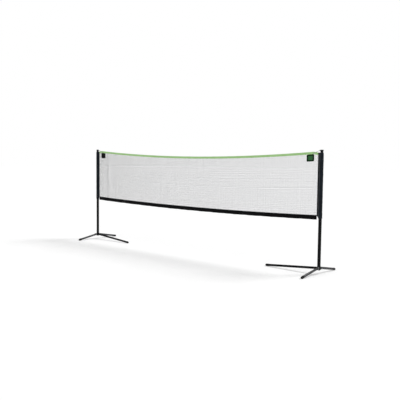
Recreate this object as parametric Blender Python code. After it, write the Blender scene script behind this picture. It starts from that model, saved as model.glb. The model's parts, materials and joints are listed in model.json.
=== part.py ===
"""A portable badminton net that hangs between two telescoping posts, at its real size in metres, +Z up.

The net runs along X. Each post stands on a T-shaped foot: one long leg lies under the net and points
inboard, and two short legs point to the front (-Y) and the back (+Y) and fold up about a rivet. Both
stands are the same: each is modelled in its own frame, with its post on Z and the net towards +X, and
the right one is turned half way round. The origin is on the floor, half way between the posts. The
posts are shown at badminton height, with the middle tubes down and the top tubes drawn out.
"""

import math

import bmesh
import bpy
import numpy as np
from mathutils import Matrix, Vector

# Overall sizes
POST_SPACING = 4.400  # between the two post axes
NET_HEIGHT = 1.550  # top of the caps at badminton height
INNER_LEG_REACH = 0.810  # from the post axis to the end of the leg under the net
SIDE_LEG_REACH = 0.405  # from the post axis to the end of a front or back leg
TUBE_OVERLAP = 0.152  # top tube left inside the middle tube at badminton height

# Clearances
GAP = 0.0003  # between pieces that touch
TELESCOPE_GAP = 0.0005  # between one post tube and the next, on the radius
SLEEVE_GAP = 0.0006  # between the fabric sleeve and the widest thing it slides over

# Post tubes
TUBE_WALL = 0.0015
LOWER_TUBE_R = 0.0210
MID_TUBE_R = LOWER_TUBE_R - TUBE_WALL - TELESCOPE_GAP
TOP_TUBE_R = MID_TUBE_R - TUBE_WALL - TELESCOPE_GAP

# Twist locks: a turning collar that squeezes a split collet on the end of a tube
COLLAR_WALL = 0.0015
COLLAR_SKIRT = 0.028  # how far a collar reaches down its tube
COLLAR_LIP = 0.003
COLLAR_EDGE = 0.0006  # chamfers
COLLET_HEIGHT = 0.012
COLLET_SLOT = 0.002
COLLAR_SPACE = 0.0034  # from the lower collar to the middle one
CAP_STOP_SPACE = 0.0074  # from the middle collar to the cap, with the top tube drawn down

# Glide plugs in the lower ends of the sliding tubes
GLIDE_FLANGE = 0.008
GLIDE_SPIGOT = 0.015
GLIDE_EDGE = 0.001
GLIDE_BORE_R = 0.009
GLIDE_SPACE = 0.007  # under each plug, when its tube is right down

# Hub under each post
HUB_BOTTOM = 0.052
HUB_SHOULDER = 0.116  # where the lower tube sits down
HUB_SPIGOT = 0.034
HUB_EDGE = 0.005  # chamfer round the hub's bottom
SPIGOT_EDGE = 0.002
LEG_LINE = 0.080  # height of the inner leg's centre line at the post axis
CHEEK_WALL = 0.0045
CHEEK_R = 0.0150
PIVOT_HEIGHT = 0.076

# Legs and feet
LEG_R = 0.0150
LEG_WALL = 0.0017
CHEEK_GAP = 0.0008  # between a side leg and each cheek
ROOT_BEHIND_PIVOT = 0.014
ROOT_SWING_GAP = 0.0045  # between the hub and the root end of a side leg as it swings
ROOT_PLUG = 0.007
ROOT_PLUG_RISE = 0.002  # how far the plug stands out of the leg's root
BOSS_PAST_HUB = 0.006  # the inner leg's tube starts past a boss that stands this far off the hub
BOSS_STEP = 0.0008  # how far the boss stands out past the leg's tube
LEG_SPIGOT = 0.045
FOOT_WALL = 0.0012
FOOT_SOCKET = 0.033
TUBE_SHORT = 0.0020  # from the end of a leg's tube to the middle of its foot's round end
SOCKET_SHORT = 0.0017  # the same for the socket's floor
FOOT_FLAT_DEPTH = 0.0012  # how much of each foot's round end is ground flat for the floor

# Rivets and screws
RIVET_R = 0.0040
RIVET_HEAD_R = 0.0070
RIVET_HEAD = 0.0024
SCREW_R = 0.0027
SCREW_HEAD_R = 0.0050
SCREW_HEAD = 0.0015  # low, so that the sleeve slides down past it
SCREW_LENGTH = 0.012
CUT_PAST = 0.002  # how far a cutter reaches past what it cuts
HEAD_CUT_PAST = 0.004  # the same on the side of a screw's head
SCREW_HOLE_PAST = 0.001  # how much deeper than its screw a hole is
POST_SCREW_ABOVE_SHOULDER = 0.017
LEG_SCREW_PAST_BOSS = 0.022

# Cap, and the screw eye that holds the tie cord
CAP_WALL = 0.0040
CAP_HEIGHT = 0.020
CAP_EDGE = 0.002  # chamfer round the top
EYE_WIRE_R = 0.0015
EYE_RING_R = 0.0055
EYE_SHANK = 0.003
EYE_SHANK_R = 0.00135
EYE_BELOW_TOP = 0.010

# Fabric sleeve round each post, and its flat hem towards the net
SLEEVE_TOP_BELOW_CAP = 0.0350
SLEEVE_LENGTH = 0.815
SLEEVE_WALL = 0.0011
HEM_REACH = 0.050  # from the post axis to the hem's edge
HEM_CORNER_RISE = 0.035  # the hem's lower corner is cut off on the slant
MESH_IN_HEM = 0.015

# Net
NET_THICKNESS = 0.0012
TAPE_HEIGHT = 0.030
TAPE_SAG = 0.076  # between the eyelets
TAPE_DROOP = 0.010  # from each eyelet down to the hem
TAPE_LAYER = 0.0009
BAND_HEIGHT = 0.056
BAND_LAYER = 0.0010
BAND_FOLD = 0.004
BAND_END_ABOVE_SLEEVE = 0.011  # the band's centre line at the hems, over the sleeve's lower end
BAND_SAG = 0.035
MESH_IN_BAND = 0.008
MESH_BELOW_EYELET = 0.0006
HEAD_CORD_R = 0.0017
CORD_CHANNEL_R = 0.0023
CHANNEL_BLEND = 0.0014  # height over which the layers close under the channel
NET_SPANS = 20

# Corner patches, eyelets and tie cords
PATCH_WIDTH = 0.108
PATCH_HEIGHT = 0.089
PATCH_THICKNESS = 0.0010
PATCH_FROM_HEM = 0.055
EYELET_FROM_POST = 0.115
EYELET_BORE_R = 0.0036
EYELET_WALL = 0.0006
EYELET_RIM = 0.0017  # width of the flange past the barrel
EYELET_FLANGE = 0.0008
TIE_CORD_R = 0.0015
TIE_LOOP_R = 0.0060  # half the width of the tie's loop

# Facets on round pieces
POST_SIDES = 24
LEG_SIDES = 16
SMALL_SIDES = 10
EYELET_SIDES = 14
EYE_SHANK_SIDES = 8
EYE_WIRE_SIDES = 6
CORD_SIDES = 8

# Sizes that follow
HALF_SPACING = POST_SPACING / 2
SLOT = NET_THICKNESS / 2 + GAP  # half the gap between two layers of fabric round the mesh
HALF_NET = HALF_SPACING - HEM_REACH - GAP  # ends of the tape and the band
CAP_R = TOP_TUBE_R + CAP_WALL
CAP_BOTTOM = NET_HEIGHT - CAP_HEIGHT
TOP_TUBE_TOP = NET_HEIGHT - CAP_WALL - GAP
SLEEVE_TOP = NET_HEIGHT - SLEEVE_TOP_BELOW_CAP
SLEEVE_BOTTOM = SLEEVE_TOP - SLEEVE_LENGTH
EYE_X = CAP_R + EYE_WIRE_R + EYE_RING_R
EYE_Z = NET_HEIGHT - EYE_BELOW_TOP
FOOT_R = LEG_R + GAP + FOOT_WALL
FOOT_CENTRE = FOOT_R - FOOT_FLAT_DEPTH  # height of the middle of a foot's round end
LEG_BORE_R = LEG_R - LEG_WALL
PIVOT_OFFSET = LOWER_TUBE_R + math.hypot(LEG_R, ROOT_BEHIND_PIVOT) + ROOT_SWING_GAP
BOSS_REACH = max(LOWER_TUBE_R, LEG_R + CHEEK_GAP + CHEEK_WALL) + BOSS_PAST_HUB
SLEEVE_R = LOWER_TUBE_R + GAP + COLLAR_WALL + SLEEVE_GAP + SLEEVE_WALL / 2

# The top tube slides down by LOW_DROP. The cap then stops just over the middle lock, which stands
# just over the lower one. This stack of locks sets where each tube ends.
MID_TUBE_BOTTOM = HUB_SHOULDER + HUB_SPIGOT + GLIDE_SPACE + GLIDE_FLANGE
LOWEST_TOP_TUBE = MID_TUBE_BOTTOM + GLIDE_SPIGOT + GLIDE_SPACE + GLIDE_FLANGE
LOCK_ABOVE_TUBE = GAP + COLLET_HEIGHT + GAP + COLLAR_LIP
HIGHEST_MID_TUBE = CAP_BOTTOM - CAP_STOP_SPACE - LOCK_ABOVE_TUBE
LOW_DROP = (HIGHEST_MID_TUBE - LOWEST_TOP_TUBE - TUBE_OVERLAP) / 2
MID_TUBE_TOP = HIGHEST_MID_TUBE - LOW_DROP
LOWER_TUBE_TOP = MID_TUBE_TOP - COLLAR_SKIRT - COLLAR_SPACE - LOCK_ABOVE_TUBE
TOP_TUBE_BOTTOM = LOWEST_TOP_TUBE + LOW_DROP

# Heights in the tape, over its centre line: the head cord's channel is under the fold, the flat
# layers are below it, and the eyelets sit in the middle of the flat layers.
CHANNEL_LINE = TAPE_HEIGHT / 2 - TAPE_LAYER - CORD_CHANNEL_R
FLAT_TOP = CHANNEL_LINE - CORD_CHANNEL_R - TAPE_LAYER - CHANNEL_BLEND
EYELET_LINE = (FLAT_TOP - TAPE_HEIGHT / 2) / 2
EYELET_HOLE_R = EYELET_BORE_R + EYELET_WALL + GAP
EYELET_FLANGE_R = EYELET_BORE_R + EYELET_WALL + EYELET_RIM
EYELET_X = HALF_SPACING - EYELET_FROM_POST
MESH_TOP_LINE = EYELET_LINE - EYELET_HOLE_R - MESH_BELOW_EYELET


# Materials


def finish(name, red, green, blue, roughness, metallic=0.0):
    """A Principled material of one colour, in linear RGB."""
    material = bpy.data.materials.new(name)
    material.use_nodes = True
    shader = material.node_tree.nodes["Principled BSDF"]
    shader.inputs["Base Color"].default_value = (red, green, blue, 1.0)
    shader.inputs["Roughness"].default_value = roughness
    shader.inputs["Metallic"].default_value = metallic
    material.diffuse_color = (red, green, blue, 1.0)
    return material


# Solids


def solid(bm):
    """The bmesh as a mesh with its faces outwards, smooth where it is round."""
    bmesh.ops.recalc_face_normals(bm, faces=bm.faces)
    mesh = bpy.data.meshes.new("solid")
    bm.to_mesh(mesh)
    bm.free()
    mesh.shade_smooth()
    mesh.set_sharp_from_angle(angle=math.radians(35))
    return mesh


def spun(profile, sides):
    """A bmesh turned about Z from (radius, height) points. It is a ring where no point is on the axis."""
    bm = bmesh.new()
    points = [bm.verts.new((radius, 0.0, height)) for radius, height in profile]
    edges = [bm.edges.new(pair) for pair in zip(points, points[1:])]
    if profile[0][0] > 0:
        edges.append(bm.edges.new((points[-1], points[0])))
    bmesh.ops.spin(bm, geom=points + edges, axis=(0, 0, 1), angle=2 * math.pi, steps=sides)
    bmesh.ops.remove_doubles(bm, verts=bm.verts, dist=1e-6)
    return bm


def turned(profile, sides):
    return solid(spun(profile, sides))


def tube(outer_r, bore_r, bottom, top, sides):
    return turned([(bore_r, bottom), (outer_r, bottom), (outer_r, top), (bore_r, top)], sides)


def rod(radius, bottom, top, sides=SMALL_SIDES):
    return turned([(0, bottom), (radius, bottom), (radius, top), (0, top)], sides)


def block(low, high):
    bm = bmesh.new()
    bmesh.ops.create_cube(bm, size=1.0)
    middle = (Vector(low) + Vector(high)) / 2
    size = Vector(high) - Vector(low)
    bmesh.ops.transform(bm, verts=bm.verts, matrix=Matrix.Translation(middle) @ Matrix.Diagonal(size.to_4d()))
    return solid(bm)


def stadium_plate(half_length, radius, low_x, high_x):
    """A flat bar along Y with round ends, between two planes across X."""
    bm = bmesh.new()
    turn = np.linspace(-math.pi / 2, math.pi / 2, 9)
    end = [(half_length + radius * math.cos(a), radius * math.sin(a)) for a in turn]
    outline = end + [(-y, -z) for y, z in end]
    face = bm.faces.new([bm.verts.new((low_x, y, z)) for y, z in outline])
    pulled = bmesh.ops.extrude_face_region(bm, geom=[face])
    corners = [piece for piece in pulled["geom"] if isinstance(piece, bmesh.types.BMVert)]
    bmesh.ops.translate(bm, verts=corners, vec=(high_x - low_x, 0, 0))
    return solid(bm)


def lofted(sections):
    """A closed body through sections, an array of stations x outline points x 3."""
    bm = bmesh.new()
    rings = [[bm.verts.new(point) for point in section] for section in sections]
    for here, there in zip(rings, rings[1:]):
        for i in range(len(here)):
            j = (i + 1) % len(here)
            bm.faces.new((here[i], here[j], there[j], there[i]))
    bm.faces.new(reversed(rings[0]))
    bm.faces.new(rings[-1])
    return solid(bm)


def place(name, mesh, material, parent, location=(0, 0, 0), rotation=(0, 0, 0)):
    node = bpy.data.objects.new(name, mesh)
    bpy.context.scene.collection.objects.link(node)
    node.parent = parent
    node.location = location
    node.rotation_euler = rotation
    if material:
        mesh.materials.append(material)
    return node


def pivot(name, parent=None, location=(0, 0, 0), rotation=(0, 0, 0)):
    """An empty that carries the pieces that move or are placed together."""
    node = bpy.data.objects.new(name, None)
    bpy.context.scene.collection.objects.link(node)
    node.parent = parent
    node.location = location
    node.rotation_euler = rotation
    return node


def reshape(target, mesh, operation, location=(0, 0, 0), rotation=(0, 0, 0)):
    """Cuts the mesh from the target, or joins it on. Its place is in the frame of the target's parent."""
    helper = place(target.name + "_helper", mesh, None, target.parent, location, rotation)
    helper.hide_render = True
    helper.display_type = "WIRE"
    change = target.modifiers.new(operation.lower(), "BOOLEAN")
    change.operation = operation
    change.object = helper


# Fasteners

ALONG_X = (0, math.pi / 2, 0)
ALONG_Y = (-math.pi / 2, 0, 0)


def rivet_mesh(half_grip):
    """A rivet with two low domed heads, along Z."""
    head = [
        (0, half_grip + RIVET_HEAD),
        (RIVET_HEAD_R * 0.6, half_grip + RIVET_HEAD * 0.8),
        (RIVET_HEAD_R, half_grip),
        (RIVET_R, half_grip),
    ]
    return turned(head + [(radius, -height) for radius, height in reversed(head)], SMALL_SIDES)


def screw_mesh():
    """A button-head screw: the underside of its head is at the origin, and it points down."""
    profile = [
        (0, SCREW_HEAD),
        (SCREW_HEAD_R * 0.65, SCREW_HEAD * 0.85),
        (SCREW_HEAD_R, 0),
        (SCREW_R, 0),
        (SCREW_R, -SCREW_LENGTH),
        (0, -SCREW_LENGTH),
    ]
    return turned(profile, SMALL_SIDES)


# Feet and legs


def foot_mesh(centre, root_height, rotation):
    """A rubber foot along Z on the end of a leg, with its round end centred at z = centre.

    root_height and rotation place the leg's frame over the floor, so that the floor's plane can be
    found in that frame, where the round end is ground flat.
    """
    turn = np.linspace(math.pi / 2, 0, 5)
    dome = [(FOOT_R * math.cos(a), centre + FOOT_R * math.sin(a)) for a in turn]
    dome[0] = (0, centre + FOOT_R)
    socket_floor = centre - SOCKET_SHORT
    skirt_end = socket_floor - FOOT_SOCKET
    bore = LEG_R + GAP
    inside = [(FOOT_R, skirt_end), (bore, skirt_end), (bore, socket_floor), (0, socket_floor)]
    bm = spun(dome + inside, LEG_SIDES)
    up = Matrix.Rotation(-rotation[1], 3, "Y") @ Matrix.Rotation(-rotation[0], 3, "X") @ Vector((0, 0, 1))
    whole = bm.verts[:] + bm.edges[:] + bm.faces[:]
    cut = bmesh.ops.bisect_plane(
        bm, geom=whole, dist=1e-7, plane_co=-root_height * up, plane_no=up, clear_inner=True
    )
    rim = [piece for piece in cut["geom_cut"] if isinstance(piece, bmesh.types.BMEdge)]
    bmesh.ops.edgeloop_fill(bm, edges=rim)
    return solid(bm)


def leg_slope(root_distance, root_height, reach):
    """The slope of a leg and the distance along it from its root to the middle of its foot's round end."""
    run = reach - FOOT_R - root_distance
    fall = root_height - FOOT_CENTRE
    return math.atan2(fall, run), math.hypot(run, fall)


def inner_leg(side, stand, hub, coat, rubber, steel):
    """The long leg under the net: a tube over the hub's spigot, held by a screw from above."""
    slope, length = leg_slope(0, LEG_LINE, INNER_LEG_REACH)
    rotation = (0, math.pi / 2 + slope, 0)
    line = pivot(side + "_inner_leg_line", stand, (0, 0, LEG_LINE), rotation)
    turned_boss = [
        (0, 0),
        (LEG_R + BOSS_STEP, 0),
        (LEG_R + BOSS_STEP, BOSS_REACH),
        (LEG_BORE_R - GAP, BOSS_REACH),
        (LEG_BORE_R - GAP, BOSS_REACH + LEG_SPIGOT),
        (0, BOSS_REACH + LEG_SPIGOT),
    ]
    reshape(hub, turned(turned_boss, LEG_SIDES), "UNION", (0, 0, LEG_LINE), rotation)

    leg = place(
        side + "_inner_leg",
        tube(LEG_R, LEG_BORE_R, BOSS_REACH + GAP, length - TUBE_SHORT, LEG_SIDES),
        coat,
        line,
    )
    place(side + "_inner_foot", foot_mesh(length, LEG_LINE, rotation), rubber, line)

    # In the leg's frame -X is up, so the screw is turned to point down +X.
    along = BOSS_REACH + LEG_SCREW_PAST_BOSS
    down = (0, -math.pi / 2, 0)
    place(side + "_leg_screw", screw_mesh(), steel, line, (-LEG_R - GAP, 0, along), down)
    hole = rod(SCREW_R + GAP, -SCREW_LENGTH - SCREW_HOLE_PAST, HEAD_CUT_PAST)
    reshape(leg, hole, "DIFFERENCE", (-LEG_R, 0, along), down)
    over_floor = Matrix.Rotation(rotation[1], 3, "Y") @ Vector((-LEG_R, 0, along))
    in_stand = over_floor + Vector((0, 0, LEG_LINE))
    reshape(hub, hole.copy(), "DIFFERENCE", in_stand, (0, rotation[1] + down[1], 0))


def side_leg(name, stand, hub, facing, coat, plastic, rubber, steel):
    """A short leg that folds up about a rivet. facing is +1 or -1, its way along the stand's own Y."""
    slope, length = leg_slope(PIVOT_OFFSET, PIVOT_HEIGHT, SIDE_LEG_REACH)
    rotation = (-facing * (math.pi / 2 + slope), 0, 0)
    at = (0, facing * PIVOT_OFFSET, PIVOT_HEIGHT)
    line = pivot(name + "_pivot", stand, at, rotation)
    leg = place(
        name, tube(LEG_R, LEG_BORE_R, -ROOT_BEHIND_PIVOT, length - TUBE_SHORT, LEG_SIDES), coat, line
    )
    reshape(leg, rod(RIVET_R + GAP, -LEG_R - CUT_PAST, LEG_R + CUT_PAST), "DIFFERENCE", rotation=ALONG_X)
    plug = [
        (0, -ROOT_BEHIND_PIVOT - ROOT_PLUG_RISE),
        (LEG_BORE_R - ROOT_PLUG_RISE, -ROOT_BEHIND_PIVOT - ROOT_PLUG_RISE),
        (LEG_BORE_R - GAP, -ROOT_BEHIND_PIVOT),
        (LEG_BORE_R - GAP, -ROOT_BEHIND_PIVOT + ROOT_PLUG),
        (0, -ROOT_BEHIND_PIVOT + ROOT_PLUG),
    ]
    place(name + "_plug", turned(plug, LEG_SIDES), plastic, line)
    place(name.replace("leg", "foot"), foot_mesh(length, PIVOT_HEIGHT, rotation), rubber, line)
    half_grip = LEG_R + CHEEK_GAP + CHEEK_WALL + GAP
    place(name + "_rivet", rivet_mesh(half_grip), steel, stand, at, ALONG_X)
    hole = rod(RIVET_R + GAP, -half_grip - CUT_PAST, half_grip + CUT_PAST)
    reshape(hub, hole, "DIFFERENCE", at, ALONG_X)


# Posts


def hub_piece(side, stand, plastic):
    """A moulded hub: a spigot for the post, two cheeks for the side legs and a boss for the inner leg."""
    spigot_r = LOWER_TUBE_R - TUBE_WALL - GAP
    spigot_top = HUB_SHOULDER + HUB_SPIGOT
    profile = [
        (0, HUB_BOTTOM),
        (LOWER_TUBE_R - HUB_EDGE, HUB_BOTTOM),
        (LOWER_TUBE_R, HUB_BOTTOM + HUB_EDGE),
        (LOWER_TUBE_R, HUB_SHOULDER),
        (spigot_r, HUB_SHOULDER),
        (spigot_r, spigot_top - SPIGOT_EDGE),
        (spigot_r - SPIGOT_EDGE, spigot_top),
        (0, spigot_top),
    ]
    hub = place(side + "_hub", turned(profile, POST_SIDES), plastic, stand)
    inside = LEG_R + CHEEK_GAP
    for low_x in (inside, -inside - CHEEK_WALL):
        cheek = stadium_plate(PIVOT_OFFSET, CHEEK_R, low_x, low_x + CHEEK_WALL)
        reshape(hub, cheek, "UNION", (0, 0, PIVOT_HEIGHT))
    return hub


def twist_lock(name, parent, tube_r, tube_top, inner_r, plastic, dark_plastic):
    """A split collet on a tube's end and the collar that turns over it."""
    collet_top = tube_top + GAP + COLLET_HEIGHT
    lock_top = tube_top + LOCK_ABOVE_TUBE
    collet = place(
        name + "_collet",
        tube(tube_r, inner_r + GAP, tube_top + GAP, collet_top, POST_SIDES),
        plastic,
        parent,
    )
    for across in ((0, 0, 0), (0, 0, math.pi / 2)):
        slot = block(
            (-tube_r - CUT_PAST, -COLLET_SLOT / 2, tube_top + COLLET_HEIGHT * 0.3),
            (tube_r + CUT_PAST, COLLET_SLOT / 2, collet_top + CUT_PAST),
        )
        reshape(collet, slot, "DIFFERENCE", rotation=across)

    bore = tube_r + GAP
    outer = bore + COLLAR_WALL
    foot = tube_top - COLLAR_SKIRT
    profile = [
        (bore, foot),
        (outer - COLLAR_EDGE, foot),
        (outer, foot + COLLAR_EDGE),
        (outer, lock_top - COLLAR_EDGE),
        (outer - COLLAR_EDGE, lock_top),
        (inner_r + GAP, lock_top),
        (inner_r + GAP, collet_top + GAP),
        (bore, collet_top + GAP),
    ]
    place(name + "_collar", turned(profile, POST_SIDES), dark_plastic, parent)


def glide_plug(name, parent, tube_r, tube_bottom, outer_bore_r, plastic):
    """The plug in a sliding tube's lower end: its flange runs in the bore of the tube around it."""
    spigot_r = tube_r - TUBE_WALL - GAP
    flange_r = outer_bore_r - GAP
    profile = [
        (GLIDE_BORE_R, tube_bottom - GLIDE_FLANGE),
        (flange_r - GLIDE_EDGE, tube_bottom - GLIDE_FLANGE),
        (flange_r, tube_bottom - GLIDE_FLANGE + GLIDE_EDGE),
        (flange_r, tube_bottom - GAP),
        (spigot_r, tube_bottom - GAP),
        (spigot_r, tube_bottom + GLIDE_SPIGOT),
        (GLIDE_BORE_R, tube_bottom + GLIDE_SPIGOT),
    ]
    place(name, turned(profile, LEG_SIDES), plastic, parent)


def post_tubes(side, stand, hub, coat, plastic, dark_plastic, steel):
    """Three tubes one inside the other, with a twist lock where each slides out of the next."""
    lower = place(
        side + "_lower_tube",
        tube(LOWER_TUBE_R, LOWER_TUBE_R - TUBE_WALL, HUB_SHOULDER + GAP, LOWER_TUBE_TOP, POST_SIDES),
        coat,
        stand,
    )
    # The screw through the tube into the hub's spigot is on the outboard side, -X.
    screw_at = (-LOWER_TUBE_R - GAP, 0, HUB_SHOULDER + POST_SCREW_ABOVE_SHOULDER)
    outboard = (0, -math.pi / 2, 0)
    place(side + "_post_screw", screw_mesh(), steel, stand, screw_at, outboard)
    for target in (lower, hub):
        hole = rod(SCREW_R + GAP, -SCREW_LENGTH - SCREW_HOLE_PAST, HEAD_CUT_PAST)
        reshape(target, hole, "DIFFERENCE", screw_at, outboard)
    twist_lock(side + "_lower", stand, LOWER_TUBE_R, LOWER_TUBE_TOP, MID_TUBE_R, plastic, dark_plastic)

    slider = pivot(side + "_mid_slider", stand)
    mid_bore = MID_TUBE_R - TUBE_WALL
    mid = tube(MID_TUBE_R, mid_bore, MID_TUBE_BOTTOM, MID_TUBE_TOP, POST_SIDES)
    place(side + "_mid_tube", mid, coat, slider)
    lower_bore = LOWER_TUBE_R - TUBE_WALL
    glide_plug(side + "_mid_glide", slider, MID_TUBE_R, MID_TUBE_BOTTOM, lower_bore, plastic)
    twist_lock(side + "_mid", slider, MID_TUBE_R, MID_TUBE_TOP, TOP_TUBE_R, plastic, dark_plastic)

    slider = pivot(side + "_top_slider", stand)
    top = tube(TOP_TUBE_R, TOP_TUBE_R - TUBE_WALL, TOP_TUBE_BOTTOM, TOP_TUBE_TOP, POST_SIDES)
    place(side + "_top_tube", top, coat, slider)
    glide_plug(side + "_top_glide", slider, TOP_TUBE_R, TOP_TUBE_BOTTOM, mid_bore, plastic)


def cap_and_eye(side, stand, plastic, steel):
    """A cap over the post's end, with a screw eye in its side for the tie cord."""
    bore = TOP_TUBE_R + GAP
    profile = [
        (0, NET_HEIGHT),
        (CAP_R - CAP_EDGE, NET_HEIGHT),
        (CAP_R, NET_HEIGHT - CAP_EDGE),
        (CAP_R, CAP_BOTTOM),
        (bore, CAP_BOTTOM),
        (bore, NET_HEIGHT - CAP_WALL),
        (0, NET_HEIGHT - CAP_WALL),
    ]
    cap = place(side + "_cap", turned(profile, POST_SIDES), plastic, stand)
    hole = rod(EYE_SHANK_R + GAP, -CAP_WALL - GAP, CUT_PAST)
    reshape(cap, hole, "DIFFERENCE", (CAP_R, 0, EYE_Z), ALONG_X)

    turn = np.arange(EYE_WIRE_SIDES) * math.tau / EYE_WIRE_SIDES
    wire = [(EYE_RING_R + EYE_WIRE_R * math.cos(a), EYE_WIRE_R * math.sin(a)) for a in turn]
    ring = turned(wire, EYELET_SIDES)
    eye = place(side + "_eye", ring, steel, stand, (EYE_X, 0, EYE_Z), ALONG_Y)
    shank = rod(EYE_SHANK_R, -EYE_SHANK, EYE_WIRE_R * 1.6, EYE_SHANK_SIDES)
    reshape(eye, shank, "UNION", (CAP_R, 0, EYE_Z), ALONG_X)


# Net


def tape_line(x):
    """Height of the top tape's centre line.

    It is a shallow parabola between the eyelets, where the tie cords hold the tape up, and droops
    straight down from each of them to the top of the sleeve.
    """
    peak = SLEEVE_TOP - TAPE_HEIGHT / 2 + TAPE_DROOP
    between = TAPE_SAG * (1 - (x / EYELET_X) ** 2)
    beyond = TAPE_DROOP * (np.abs(x) - EYELET_X) / (HALF_NET - EYELET_X)
    return peak - np.where(np.abs(x) < EYELET_X, between, beyond)


def band_line(x):
    """Height of the bottom band's centre line."""
    end = SLEEVE_BOTTOM + BAND_END_ABOVE_SLEEVE
    return end - BAND_SAG * (1 - (x / HALF_NET) ** 2)


def stations(end):
    """The x of each section across the net: even spans between the eyelets, and one beyond each."""
    return np.concatenate([[-end], np.linspace(-EYELET_X, EYELET_X, NET_SPANS + 1), [end]])


def hung(x, outline, line):
    """One section across the net at each x: (y, height) outline points carried along a line."""
    outline = np.array(outline)
    sections = np.empty((len(x), len(outline), 3))
    sections[:, :, 0] = x[:, None]
    sections[:, :, 1] = outline[:, 0]
    sections[:, :, 2] = line(x)[:, None] + outline[:, 1]
    return sections


def top_tape(net, material):
    """Two layers folded over the mesh, with a channel for the head cord under the fold."""
    half = TAPE_HEIGHT / 2
    channel = CHANNEL_LINE
    layer_out = SLOT + TAPE_LAYER
    bulge = CORD_CHANNEL_R + TAPE_LAYER
    outer = [
        (-layer_out, -half),
        (-layer_out, FLAT_TOP),
        (-bulge, channel - CORD_CHANNEL_R * 0.6),
        (-bulge, channel + CORD_CHANNEL_R * 0.4),
        (-bulge * 0.55, half),
    ]
    inner = [
        (CORD_CHANNEL_R * 0.55, channel + CORD_CHANNEL_R),
        (CORD_CHANNEL_R, channel + CORD_CHANNEL_R * 0.4),
        (CORD_CHANNEL_R, channel - CORD_CHANNEL_R * 0.6),
        (SLOT, FLAT_TOP + CHANNEL_BLEND * 0.3),
        (SLOT, -half),
    ]
    right_side = [(-y, z) for y, z in reversed(outer)]
    left_inside = [(-y, z) for y, z in reversed(inner)]
    outline = outer + right_side + inner[::-1] + left_inside[::-1]
    x = stations(HALF_NET)
    tape = place("top_tape", lofted(hung(x, outline, tape_line)), material, net)
    for eyelet_x in (-EYELET_X, EYELET_X):
        reach = layer_out + CUT_PAST
        hole = rod(EYELET_HOLE_R, -reach, reach, EYELET_SIDES)
        reshape(tape, hole, "DIFFERENCE", (eyelet_x, 0, tape_line(eyelet_x) + EYELET_LINE), ALONG_Y)


def head_cord(net, material):
    """The cord in the tape's channel, from one eyelet to the other."""
    turn = (np.arange(CORD_SIDES) + 0.5) * math.tau / CORD_SIDES
    outline = np.stack([HEAD_CORD_R * np.cos(turn), CHANNEL_LINE + HEAD_CORD_R * np.sin(turn)], axis=1)
    end = EYELET_X - EYELET_FLANGE_R
    x = stations(HALF_NET)
    x = np.concatenate([[-end], x[np.abs(x) < end], [end]])
    place("head_cord", lofted(hung(x, outline, tape_line)), material, net)


def bottom_band(net, material):
    half = BAND_HEIGHT / 2
    outer = SLOT + BAND_LAYER
    outside = [(-outer, half), (-outer, -half), (outer, -half), (outer, half)]
    inside = [(SLOT, half), (SLOT, -half + BAND_FOLD), (-SLOT, -half + BAND_FOLD), (-SLOT, half)]
    outline = outside + inside
    x = stations(HALF_NET)
    place("bottom_band", lofted(hung(x, outline, band_line)), material, net)


def net_mesh(net, material):
    """The knitted mesh as one thin sheet. Its edges are tucked into the tape, the band and the hems."""
    end = HALF_SPACING - HEM_REACH + MESH_IN_HEM
    x = stations(end)
    top = tape_line(x) + MESH_TOP_LINE
    bottom = band_line(x) + BAND_HEIGHT / 2 - MESH_IN_BAND
    half = NET_THICKNESS / 2
    sections = np.empty((len(x), 4, 3))
    sections[:, :, 0] = x[:, None]
    sections[:, :, 1] = (-half, half, half, -half)
    sections[:, :, 2] = np.stack([bottom, bottom, top, top], axis=1)
    place("net_mesh", lofted(sections), material, net)


def corner_patch(name, net, facing, material):
    """A stiff patch sewn on the front of the mesh, just under the tape."""
    outboard = HALF_NET - PATCH_FROM_HEM
    x = facing * np.linspace(outboard - PATCH_WIDTH, outboard, 4)[::facing]
    top = -TAPE_HEIGHT / 2 - GAP
    front = -NET_THICKNESS / 2 - GAP - PATCH_THICKNESS
    back = front + PATCH_THICKNESS
    outline = [(front, top - PATCH_HEIGHT), (back, top - PATCH_HEIGHT), (back, top), (front, top)]
    place(name, lofted(hung(x, outline, tape_line)), material, net)


def sleeve(side, stand, material):
    """Fabric that goes round the post and comes together in a hem of two layers.

    In plan it is one strip of cloth: along the front layer, round the post and back along the other.
    """
    outer_r = SLEEVE_R + SLEEVE_WALL / 2
    inner_r = SLEEVE_R - SLEEVE_WALL / 2

    def strip(radius, half_gap):
        meet = math.asin(half_gap / radius)
        turn = np.linspace(math.tau - meet, meet, POST_SIDES + 1)
        round_post = np.stack([radius * np.cos(turn), radius * np.sin(turn)], axis=1)
        return np.concatenate([[(HEM_REACH, -half_gap)], round_post, [(HEM_REACH, half_gap)]])

    outer = strip(outer_r, SLOT + SLEEVE_WALL)
    inner = strip(inner_r, SLOT)
    slant = HEM_CORNER_RISE / (HEM_REACH - outer_r)

    def section(out, inside):
        low = SLEEVE_BOTTOM + slant * max(0.0, out[0] - outer_r)
        return [(*out, low), (*inside, low), (*inside, SLEEVE_TOP), (*out, SLEEVE_TOP)]

    sections = [section(out, inside) for out, inside in zip(outer, inner)]
    place(side + "_sleeve", lofted(sections), material, stand)


def eyelet(side, stand, material):
    """A metal ring pressed into the tape."""
    face = SLOT + TAPE_LAYER + GAP
    barrel = EYELET_BORE_R + EYELET_WALL
    half = [(EYELET_BORE_R, face + EYELET_FLANGE), (EYELET_FLANGE_R, face + EYELET_FLANGE)]
    half += [(EYELET_FLANGE_R, face), (barrel, face)]
    profile = half + [(radius, -height) for radius, height in reversed(half)]
    at = (EYELET_FROM_POST, 0, tape_line(EYELET_X) + EYELET_LINE)
    place(side + "_eyelet", turned(profile, EYELET_SIDES), material, stand, at, ALONG_Y)


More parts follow.
